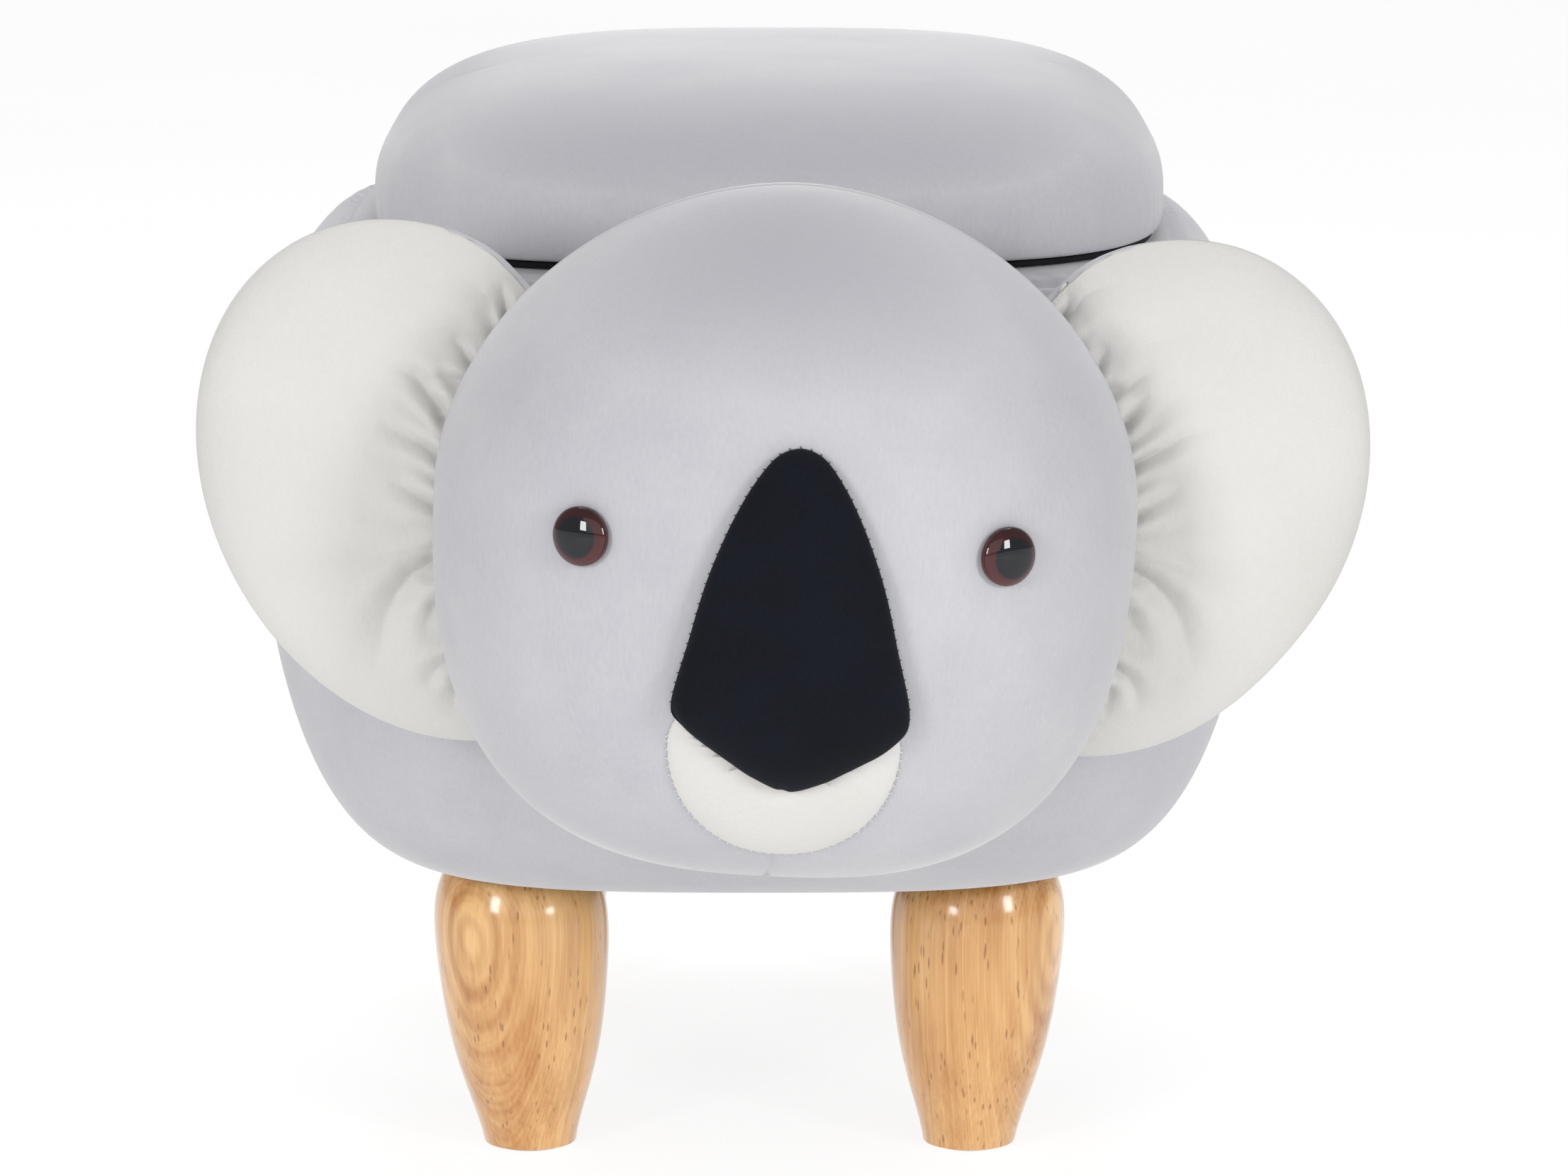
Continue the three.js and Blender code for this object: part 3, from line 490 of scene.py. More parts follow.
def marks(piece, name, values=None):
    """Reads or writes a number on each vertex, which a subdivision carries along."""
    if values is None:
        stored = np.empty(len(piece.data.vertices))
        piece.data.attributes[name].data.foreach_get("value", stored)
        return stored
    layer = piece.data.attributes.new(name, "FLOAT", "POINT")
    layer.data.foreach_set("value", np.asarray(values, float))
    return values


def apply(piece, kind, **settings):
    """Adds a modifier, sets it and applies it."""
    alone(piece)
    modifier = piece.modifiers.new(kind.lower(), kind)
    for key, value in settings.items():
        setattr(modifier, key, value)
    bpy.ops.object.modifier_apply(modifier=modifier.name)


def rounder(piece):
    """Splits each face in four and rounds the piece."""
    apply(piece, "SUBSURF", levels=1, render_levels=1, use_limit_surface=False)


def edit(piece, *steps):
    """Runs edit-mode operators on the whole mesh of a piece."""
    alone(piece)
    bpy.ops.object.mode_set(mode="EDIT")
    bpy.ops.mesh.select_all(action="SELECT")
    for step, settings in steps:
        step(**settings)
    bpy.ops.object.mode_set(mode="OBJECT")


def closed(piece, reach=0.01 * MM):
    """Merges what meets and points every face outwards."""
    edit(
        piece,
        (bpy.ops.mesh.remove_doubles, {"threshold": reach}),
        (bpy.ops.mesh.dissolve_degenerate, {"threshold": reach}),
        (bpy.ops.mesh.normals_make_consistent, {"inside": False}),
    )
    return piece


def push(piece, places, lift):
    """Moves each vertex from its place along its normal."""
    normals = np.empty(len(places) * 3)
    piece.data.vertices.foreach_get("normal", normals)
    place_points(piece, places + normals.reshape(-1, 3) * lift[:, None])


def fresh(make, **settings):
    """Makes a primitive with nothing else selected."""
    bpy.ops.object.select_all(action="DESELECT")
    make(**settings)
    return bpy.context.object


def cloth_grid(name, columns, rows):
    """A flat grid, with the share across and the share along of each vertex."""
    piece = fresh(bpy.ops.mesh.primitive_grid_add, x_subdivisions=columns, y_subdivisions=rows, size=2)
    piece.name = name
    places = points(piece)
    return piece, (places[:, 0] + 1) / 2, (places[:, 1] + 1) / 2


def cloth_ball(name, cuts):
    """A cube cut into squares, with the direction of each vertex from its middle."""
    piece = fresh(bpy.ops.mesh.primitive_cube_add, size=2)
    piece.name = name
    edit(piece, (bpy.ops.mesh.subdivide, {"number_cuts": cuts}))
    even = np.tan(points(piece) * (QUARTER / 2))
    return piece, even / np.linalg.norm(even, axis=1)[:, None]


def cut_away(piece, *cutters):
    """Cuts each cutter's shape out of a piece and removes the cutter."""
    for cutter in cutters:
        apply(piece, "BOOLEAN", operation="DIFFERENCE", object=cutter, solver="EXACT")
        bpy.data.objects.remove(cutter)


def wear(piece, finish, body, slot_name, nodes=()):
    """Gives a piece its finish and its body, and hides the nodes that it stands for; its slot name is not
    used.
    """
    piece.data.materials.clear()
    piece.data.materials.append(finish)
    for face in piece.data.polygons:
        face.material_index = 0
    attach(piece, body)
    if nodes:
        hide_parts(*nodes)
    return piece


def smooth(piece, angle=None):
    alone(piece)
    if angle is None:
        bpy.ops.object.shade_smooth()
    else:
        bpy.ops.object.shade_smooth_by_angle(angle=angle)
    return piece


def settle(piece, held, cap, pressure):
    """Fills a padded piece as cloth, keeps each point within the cap, and leaves no modifier."""
    start = points(piece)
    group = piece.vertex_groups.new(name="held")
    for index, weight in enumerate(held):
        if weight > 0:
            group.add([index], float(weight), "REPLACE")
    alone(piece)
    cloth = piece.modifiers.new("fill", "CLOTH")
    settings = cloth.settings
    settings.quality = 6
    settings.mass = 0.25
    settings.tension_stiffness = 12
    settings.compression_stiffness = 12
    settings.shear_stiffness = 5
    settings.bending_stiffness = 0.4
    settings.air_damping = 3
    settings.vertex_group_mass = "held"
    settings.use_pressure = True
    settings.uniform_pressure_force = pressure
    settings.effector_weights.gravity = 0
    cloth.point_cache.frame_start = 1
    cloth.point_cache.frame_end = CLOTH_FRAMES
    for number in range(1, CLOTH_FRAMES + 1):
        bpy.context.scene.frame_set(number)
    bpy.ops.object.modifier_apply(modifier=cloth.name)
    bpy.context.scene.frame_set(1)
    move = points(piece) - start
    far = np.linalg.norm(move, axis=1)
    far[far == 0] = 1
    place_points(piece, start + move * np.minimum(1, cap / far)[:, None])
    piece.vertex_groups.clear()


def copies(name, template, matrices):
    """One piece from many copies of a template mesh, each at its own place."""
    made = []
    for matrix in matrices:
        copy = bpy.data.objects.new(name, template.data.copy())
        bpy.context.scene.collection.objects.link(copy)
        copy.data.transform(matrix)
        made.append(copy)
    bpy.ops.object.select_all(action="DESELECT")
    for copy in made:
        copy.select_set(True)
    bpy.context.view_layer.objects.active = made[0]
    bpy.ops.object.join()
    piece = bpy.context.object
    piece.name = name
    bpy.data.objects.remove(template)
    return piece


# Shapes of the padded forms


def squircle(angle, half_width, half_height, squareness):
    """Point of a rounded outline: an ellipse has the squareness 2, and more is squarer."""
    across, up = np.cos(angle), np.sin(angle)
    reach = (np.abs(across) ** squareness + np.abs(up) ** squareness) ** (-1 / squareness)
    return half_width * reach * across, half_height * reach * up


BOX_SQUARE = 6.0
BODY_SQUARE = 3.5
SOLE_SQUARE = 4.0
LID_SQUARE = 3.3
SOLE_ROUND = 2.23
SHOULDER_ROUND = 2.2
LID_ROUND = 3.15
EAR_ROUND = 2.3
HEAD_ROUND = 2.15
CROWN_SQUARE = 1.88
CHIN_SQUARE = 2.68
length_gain = body_half.y - body_half.x
lid_gain = lid_half.y - lid_half.x


def body_side(height):
    """Half width and squareness of the padded body at a height, for an array of heights."""
    sizes = bpy.context.scene.footstool_body
    belly = body_bottom + sizes.belly_rise
    low = np.clip((belly - height) / sizes.belly_rise, 0, 1)
    high = np.clip((height - belly) / (body_top - belly), 0, 1)
    out_low = (1 - low**SOLE_ROUND) ** (1 / SOLE_ROUND)
    out_high = (1 - high**SHOULDER_ROUND) ** (1 / SHOULDER_ROUND)
    half = np.where(
        height < belly,
        sizes.sole_half_width + (body_half.x - sizes.sole_half_width) * out_low,
        sizes.rim_half_width + (body_half.x - sizes.rim_half_width) * out_high,
    )
    angle = np.arctan2(low, np.maximum(out_low, 1e-6))
    sole = BODY_SQUARE + (SOLE_SQUARE - BODY_SQUARE) * np.sin(angle) ** 2
    return half, np.where(height < belly, sole, BODY_SQUARE)


def clear_of_body(places, gap=0.5 * MM):
    """Moves points that lie in the body forward, to a gap before its surface."""
    moved = places.copy()
    half, square = body_side(moved[:, 2])
    inside = (moved[:, 2] > body_bottom) & (moved[:, 2] < body_top)
    across = np.clip(np.abs(moved[:, 0] - body_centre.x) / (half + gap), 0, 1)
    face = body_centre.y - (half + length_gain + gap) * (1 - across**square) ** (1 / square)
    behind = inside & (moved[:, 1] > face) & (across < 1)
    moved[behind, 1] = face[behind]
    return moved


def before_body(shift, forward, rise):
    """A place before the body: right of its middle, forward of its front, over its underside."""
    front = body_centre.y - body_half.y
    return Matrix.Translation((body_centre.x + shift, front - forward, body_bottom + rise))


def head_frame():
    """Places the head's own axes."""
    sizes = bpy.context.scene.footstool_head
    return before_body(sizes.shift, sizes.seam_depth, sizes.rise) @ Matrix.Rotation(sizes.roll, 4, "Y")


def carried(matrix, places):
    """Points moved by a matrix."""
    turn = np.array(matrix.to_3x3())
    return places @ turn.T + np.array(matrix.translation)


def face_share(across, up):
    """How far out a face point lies: 0 at the head's centre and 1 on its outline."""
    sizes = bpy.context.scene.footstool_head
    square = np.where(up > 0, CROWN_SQUARE, CHIN_SQUARE)
    height = np.where(up > 0, sizes.crown, sizes.chin)
    wide, high = np.abs(across) / sizes.half_width, np.abs(up) / height
    return (wide**square + high**square) ** (1 / square)


def face_depth(across, up):
    """Front of the head at a face point, from its seam."""
    share = np.minimum(face_share(across, up), 1)
    return -bpy.context.scene.footstool_head.front * (1 - share**HEAD_ROUND) ** (1 / HEAD_ROUND)


def over_face(across, up, height):
    """Points at a height over the face, square to it."""
    step = 0.3 * MM
    slope_x = (face_depth(across + step, up) - face_depth(across - step, up)) / (2 * step)
    slope_z = (face_depth(across, up + step) - face_depth(across, up - step)) / (2 * step)
    normal = np.stack([slope_x, -np.ones_like(slope_x), slope_z], axis=-1)
    normal /= np.linalg.norm(normal, axis=-1)[..., None]
    foot = np.stack([across, face_depth(across, up), up], axis=-1)
    return foot + normal * np.asarray(height)[..., None], normal


def dip(distance, width):
    """A soft groove's depth share at a distance from its line."""
    return np.exp(-((distance / width) ** 2))


def lofted(name, columns, side, foot, gain, square):
    """A form from the half widths and heights of its rows: its grid, angles, rows and places."""
    rows = len(side) - 1
    piece, across, along = cloth_grid(name, columns, rows)
    half, height = (np.array(values) for values in list(zip(*side))[:2])
    row = np.rint(along * rows).astype(int)
    share = np.minimum(half[row] / foot, 1)
    angle = across * 4 * QUARTER
    x, y = squircle(angle, half[row], half[row] + gain * share, square)
    return piece, angle, row, share, np.stack([x, y, height[row]], axis=1)


class FOOTSTOOL_OT_stage(Operator):
    """Floor, lights and camera of the photograph"""

    bl_idname = "footstool.stage"
    bl_label = "Studio"

    def execute(self, context):
        scene = context.scene
        scene.view_settings.view_transform = "Standard"
        scene.view_settings.look = "None"
        floor = fresh(bpy.ops.mesh.primitive_plane_add, size=40)
        floor.name = "floor"
        floor.data.materials.append(floor_finish())
        world = bpy.data.worlds.new("studio")
        scene.world = world
        world.use_nodes = True
        tree = world.node_tree
        backdrop = tree.nodes["Background"]
        backdrop.inputs["Color"].default_value = (1, 1, 1, 1)
        backdrop.inputs["Strength"].default_value = 0.42
        centre = Vector((body_centre.x, body_centre.y - body_half.y, 0.2))
        # Azimuth right of the camera, elevation, distance, width, height, power
        rig = {
            "key_left": (-36, 15, 2.3, 0.45, 0.7, 18),
            "key_right": (43, 15, 2.3, 0.45, 0.7, 18),
            "front_fill": (-2, 22, 4.2, 5.0, 2.6, 30),
            "top_back": (176, 62, 2.4, 1.8, 1.2, 30),
        }
        for name, (azimuth, elevation, distance, width, height, power) in rig.items():
            data = bpy.data.lights.new(name, "AREA")
            data.shape = "RECTANGLE"
            data.size, data.size_y, data.energy = width, height, power
            lamp = bpy.data.objects.new(name, data)
            scene.collection.objects.link(lamp)
            turn, lift = math.radians(azimuth), math.radians(elevation)
            aim = Vector((math.sin(turn) * math.cos(lift), -math.cos(turn) * math.cos(lift), math.sin(lift)))
            lamp.location = centre + aim * distance
            lamp.rotation_euler = aim.to_track_quat("Z", "Y").to_euler()
        data = bpy.data.cameras.new("camera")
        data.sensor_width = 36
        data.lens = 146.73
        camera = bpy.data.objects.new("camera", data)
        scene.collection.objects.link(camera)
        camera.location = (0.00013, -2.24757, 0.6229)
        camera.rotation_euler = (math.radians(90 - 10.8), 0, 0)
        scene.camera = camera
        return {"FINISHED"}


class FOOTSTOOL_OT_body(Operator):
    """Padded velvet body with its shoulder seam and its turned hems"""

    bl_idname = "footstool.body"
    bl_label = "Padded body"

    def execute(self, context):
        sizes = context.scene.footstool_body
        columns, low_count, high_count, rim_count = 200, 26, 17, 8
        rim_overhang, sole_turn = 8 * MM, 12 * MM
        hem_reach, hem_lift, hem_corner_lift = 40 * MM, 0.6, 0.7
        belly = body_bottom + sizes.belly_rise
        hem = sizes.hem_drop
        side = []
        for angle in -QUARTER * np.linspace(1, 0, low_count + 1)[:-1]:
            out, up = squircle(angle, body_half.x - sizes.sole_half_width, sizes.belly_rise, SOLE_ROUND)
            square = BODY_SQUARE + (SOLE_SQUARE - BODY_SQUARE) * math.sin(angle) ** 2
            side.append((sizes.sole_half_width + out, belly + up, square, 0))
        for angle in QUARTER * np.linspace(0, 1, high_count):
            out, up = squircle(angle, body_half.x - sizes.rim_half_width, body_top - belly, SHOULDER_ROUND)
            side.append((sizes.rim_half_width + out, belly + up, BODY_SQUARE, 0))
        inner = wall_half.x - rim_overhang
        for share in np.linspace(0, 1, rim_count + 1)[1:]:
            half = sizes.rim_half_width + (inner - sizes.rim_half_width) * share
            square = BODY_SQUARE + (BOX_SQUARE - BODY_SQUARE) * share
            side.append((half, body_top, square, min(1, 0.5 + share)))
        rim_edge = rim_half.x + GAP
        box_edge = max(wall_half.x, board_half.x) + GAP
        rim_bottom = rim_centre.z - rim_half.z - GAP
        board_bottom = board_centre.z - board_half.z
        turned_in = sizes.sole_half_width - sole_turn
        side += [
            (inner, body_top - hem, BOX_SQUARE, 1),
            (rim_edge, body_top - hem - GAP, BODY_SQUARE, 1),
            (rim_edge, rim_bottom, BODY_SQUARE, 1),
            (box_edge, rim_bottom, BOX_SQUARE, 1),
            (box_edge, (rim_bottom + board_bottom) / 2, BOX_SQUARE, 1),
            (box_edge, board_bottom - GAP / 2, BOX_SQUARE, 1),
            (turned_in, board_bottom - GAP / 2, BOX_SQUARE, 1),
            (turned_in, body_bottom, BOX_SQUARE, 1),
        ]
        rows = len(side)
        piece, across, along = cloth_grid("padded_body", columns, rows)
        half, height, square, held = (np.array(values) for values in zip(*side))
        row = np.rint(along * rows).astype(int) % rows
        angle = across * 4 * QUARTER
        x, y = squircle(angle, half[row], half[row] + length_gain, square[row])
        z = height[row]
        low = np.clip(1 - (z - body_bottom) / hem_reach, 0, 1) ** 2 * (row < low_count)
        z = z + low * (hem_lift + hem_corner_lift * np.abs(np.sin(2 * angle)) ** 3) * MM
        place_points(piece, np.stack([body_centre.x + x, body_centre.y + y, z], axis=1))
        marks(piece, "hidden", held[row])
        closed(piece)
        settle(piece, marks(piece, "hidden"), cap=3 * MM, pressure=1.5)
        rounder(piece)
        self.sew(piece, sizes)
        smooth(piece)
        velvet = context.scene["footstool_finishes"]["velvet"]
        wear(piece, velvet, STOOL, "velvet", ["body_cover", "body_foam"])
        return {"FINISHED"}

    def sew(self, piece, sizes):
        """Shoulder seam and its puckers."""
        groove_width, groove_depth = 1.7 * MM, 2.2 * MM
        pucker_height, pucker_out, pucker_in = 0.7 * MM, 13 * MM, 7 * MM
        places = points(piece)
        x, y, z = places[:, 0] - body_centre.x, places[:, 1] - body_centre.y, places[:, 2]
        shown = 1 - np.clip(marks(piece, "hidden") * 4, 0, 1)
        # The half width of the outline through each point is found by a few closer guesses
        half = np.maximum(np.abs(x), np.abs(y) - length_gain)
        for _ in range(12):
            share = (np.abs(x) / half) ** BODY_SQUARE + (np.abs(y) / (half + length_gain)) ** BODY_SQUARE
            half = half * share ** (1 / BODY_SQUARE)
        angle = np.arctan2(y, x)
        upper = z > body_bottom + sizes.belly_rise
        off_seam = (half - sizes.seam_half_width) * np.where(upper, 1, 0) + np.where(upper, 0, 1)
        round_share = np.abs(np.sin(2 * angle)) ** 1.5
        ripple = np.sin(angle * 97 + 2.2 * np.sin(angle * 13)) * (0.5 + 0.5 * np.sin(angle * 7 + 1))
        fade = dip(np.maximum(off_seam, 0), pucker_out) * dip(np.minimum(off_seam, 0), pucker_in)
        puckers = fade * ripple * (0.35 + 0.75 * round_share) * pucker_height
        push(piece, places, shown * (puckers - dip(off_seam, groove_width) * groove_depth))


class FOOTSTOOL_OT_lid(Operator):
    """Crowned lid cushion over its board"""

    bl_idname = "footstool.lid"
    bl_label = "Lid cushion"

    def execute(self, context):
        sizes = context.scene.footstool_body
        columns, crown_count = 192, 33
        turn_under, edge_round, edge_rise = 16 * MM, 2 * MM, 0.7 * MM
        tug_reach, tug_height = 26 * MM, 0.5 * MM
        ripple_reach, ripple_height = 3 * MM, 0.3 * MM
        foot = lid_half.x - sizes.lid_tuck
        recess = lid_board_half.x + GAP
        recess_top = lid_board_centre.z + lid_board_half.z + GAP
        board_low = lid_board_centre.z - lid_board_half.z - GAP
        crest = lid_bottom + sizes.lid_crest
        side = [(0, lid_top, 0)]
        for angle in QUARTER * np.linspace(1, 0, crown_count + 1)[1:]:
            out, up = squircle(angle, lid_half.x, lid_top - crest, LID_ROUND)
            side.append((out, crest + up, 0))
        for angle in QUARTER * np.array([-0.35, -0.7]):
            out, up = sizes.lid_tuck * math.cos(angle), sizes.lid_crest * math.sin(angle)
            side.append((foot + out, crest + up, 0.2))
        turned_in = foot - turn_under
        side += [
            (foot, lid_bottom + edge_rise, 1),
            (foot - edge_round, lid_bottom, 1),
            (turned_in, lid_bottom, 1),
            (turned_in, board_low, 1),
            (recess, board_low, 1),
            (recess, recess_top, 1),
            (recess * 0.66, recess_top, 1),
            (recess * 0.33, recess_top, 1),
            (0, recess_top, 1),
        ]
        piece, _, row, _, places = lofted("lid_cushion", columns, side, foot, lid_gain, LID_SQUARE)
        place_points(piece, places + [lid_centre.x, lid_centre.y, 0])
        marks(piece, "hidden", np.array([held for _, _, held in side])[row])
        closed(piece)
        settle(piece, marks(piece, "hidden"), cap=0.5 * MM, pressure=1.2)
        rounder(piece)
        places = points(piece)
        x, y, z = places[:, 0] - lid_centre.x, places[:, 1] - lid_centre.y, places[:, 2]
        shown = 1 - np.clip(marks(piece, "hidden") * 2, 0, 1)
        angle = np.arctan2(y, x)
        low = np.clip(1 - (z - lid_bottom) / tug_reach, 0, 1) ** 1.5
        corner = np.abs(np.sin(2 * angle)) ** 4
        tug = np.sin(angle * 84 + 2 * np.sin(angle * 11)) * corner * low * tug_height
        near_foot = dip(z - lid_bottom, ripple_reach)
        ripple = np.sin(angle * 230 + 5 * np.sin(angle * 17)) * near_foot * ripple_height
        push(piece, places, shown * (tug + ripple))
        smooth(piece)
        velvet = context.scene["footstool_finishes"]["velvet"]
        wear(piece, velvet, LID, "velvet", ["lid_cover", "lid_foam"])
        return {"FINISHED"}


class FOOTSTOOL_OT_head(Operator):
    """Stuffed velvet head, drawn in where its eyes and its chin dart are sewn"""

    bl_idname = "footstool.head"
    bl_label = "Head"

    def execute(self, context):
        sizes = context.scene.footstool_head
        piece, way = cloth_ball("stuffed_head", 55)
        lift = np.arcsin(np.clip(way[:, 1], -1, 1))
        spread, along = squircle(lift, 1, 1, HEAD_ROUND)
        angle = np.arctan2(way[:, 2], way[:, 0])
        high = way[:, 2] > 0
        reach = np.where(high, sizes.crown, sizes.chin)
        crown = squircle(angle, sizes.half_width, reach, CROWN_SQUARE)
        chin = squircle(angle, sizes.half_width, reach, CHIN_SQUARE)
        x, z = (np.where(high, upper, lower) * spread for upper, lower in zip(crown, chin))
        y = np.where(along < 0, along * sizes.front, along * sizes.back)
        place = head_frame()
        free = carried(place, np.stack([x, y, z], axis=1))
        place_points(piece, clear_of_body(free))
        held = (points(piece) - free)[:, 1] < -0.1 * MM
        settle(piece, np.where(held, 1.0, 0.0), cap=2 * MM, pressure=1.0)
        rounder(piece)
        self.sew(piece, sizes, place)
        smooth(piece)
        velvet = context.scene["footstool_finishes"]["velvet"]
        wear(piece, velvet, STOOL, "velvet", ["head_cover", "head_filling"])
        return {"FINISHED"}

    def sew(self, piece, sizes, place):
        """Seam round the widest line, dimples at the eyes, and the chin dart."""
        seam_shift, seam_width, seam_depth = 1 * MM, 1.6 * MM, 0.8 * MM
        dimple_width, dimple_depth = 13 * MM, 1.2 * MM
        dart_width, dart_depth, dart_end = 0.9 * MM, 0.75 * MM, 2 * MM
        dart_low, dart_high = -sizes.chin + 5 * MM, -sizes.chin + 17 * MM
        places = points(piece)
        x, y, z = carried(place.inverted(), places).T
        depth = dip(y - seam_shift, seam_width) * seam_depth
        front = y < -20 * MM
        for _, sign in SIDES:
            far = np.hypot(x - sizes.face_shift - sign * sizes.eye_across, z + sizes.eye_drop)
            depth += front * dip(far, dimple_width) * dimple_depth
        along = np.clip((z - dart_low) / (dart_high - dart_low), 0, 1)
        off = x - (0.3 * MM + 1.5 * MM * along)
        fade = np.where(z < dart_high, 1, dip(z - dart_high, dart_end))
        depth += front * dip(off, dart_width) * fade * dart_depth
        push(piece, places, -depth)


def evened(line, count, endpoint):
    """Points at even steps along a line, and how far along each one lies."""
    run = np.concatenate([[0], np.cumsum(np.linalg.norm(np.diff(line, axis=0), axis=1))])
    even = np.linspace(0, run[-1], count, endpoint=endpoint)
    return np.stack([np.interp(even, run, line[:, 0]), np.interp(even, run, line[:, -1])], axis=1), even


def spline(before, start, end, after, share):
    """Point of a smooth curve from start to end."""
    slope = end - before
    bend = 2 * before - 5 * start + 4 * end - after
    twist = 3 * start - before - 3 * end + after
    return 0.5 * (2 * start + slope * share + bend * share**2 + twist * share**3)


def nose_half(up_share):
    """Half width of the nose, as a share, at a height share from its tip to its top."""
    heights = np.array([0, 0.034, 0.07, 0.104, 0.135, 0.17, 0.204, 0.236, 0.335, 0.54, 0.745, 0.889, 1])
    widths = np.array([0, 0.3, 0.48, 0.64, 0.78, 0.9, 0.985, 1, 0.95, 0.8, 0.6, 0.39, 0])
    return np.interp(up_share, heights, widths)


# Half width and height of the nose from its top round one side to its tip, as shares
NOSE_SIDE = (
    (0, 1), (0.15, 0.985), (0.26, 0.952), (0.39, 0.889), (0.49, 0.827), (0.6, 0.745),
    (0.715, 0.64), (0.8, 0.54), (0.87, 0.44), (0.95, 0.335), (0.99, 0.275), (1.0, 0.236),
    (0.985, 0.204), (0.9, 0.17), (0.78, 0.135), (0.64, 0.104), (0.48, 0.07), (0.3, 0.034),
)


def nose_middle(up_share):
    """Middle line of the nose at a height share: it leans a little, as it was sewn."""
    return (1.6 - 1.2 * up_share) * MM


def nose_outline(count):
    """Smooth closed outline of the nose about the middle of the face, evenly spaced."""
    sizes = bpy.context.scene.footstool_nose
    # The left corner sits a little higher than the right one
    lift = [0.022 * min(1, max(0, (0.26 - z) * 9)) for _, z in NOSE_SIDE]
    loop = [(x, z - 0.5 * up * x) for (x, z), up in zip(NOSE_SIDE, lift)] + [(0, 0)]
    loop += [(-x, z + up * x) for (x, z), up in list(zip(NOSE_SIDE, lift))[:0:-1]]
    keys = np.array(loop)
    turns = len(keys)
    dense = []
    for i in range(turns):
        four = keys[i - 1], keys[i], keys[(i + 1) % turns], keys[(i + 2) % turns]
        dense += [spline(*four, share) for share in np.linspace(0, 1, 24, endpoint=False)]
    dense = np.array(dense)
    dense[:, 0] = dense[:, 0] * sizes.half_width + nose_middle(dense[:, 1])
    dense[:, 1] = sizes.top - sizes.height * (1 - dense[:, 1])
    return evened(np.vstack([dense, dense[:1]]), count, False)[0]


def patch_outline(count):
    """Outline of the plush patch about the middle of the face."""
    sizes = bpy.context.scene.footstool_nose
    under_nose = 24 * MM
    angle = np.linspace(0, 4 * QUARTER, count, endpoint=False)
    height = np.where(np.sin(angle) > 0, under_nose, sizes.patch_depth)
    x, z = sizes.patch_half_width * np.cos(angle), height * np.sin(angle) - sizes.patch_drop
    return np.stack([x, z], axis=1)


def sewn_pad(name, outline, middle, rows, rise, lift):
    """A pad that stands on the face inside an outline; rise gives its height at each share."""
    columns = len(outline)
    shift = bpy.context.scene.footstool_head.face_shift
    piece, across, along = cloth_grid(name, columns, 2 * rows)
    column = np.rint(across * columns).astype(int) % columns
    row = np.rint(along * 2 * rows).astype(int)
    top = row <= rows
    share = np.where(top, row / rows, 2 - row / rows)
    spread = np.sin(share * QUARTER)
    spot = middle + (outline[column] - middle) * spread[:, None]
    height = np.where(top, lift + rise(spread, spot), lift * share)
    places, _ = over_face(shift + spot[:, 0], spot[:, 1], height)
    place_points(piece, carried(head_frame(), places))
    marks(piece, "under", np.where(top & (row < rows), 0.0, 1.0))
    return closed(piece)


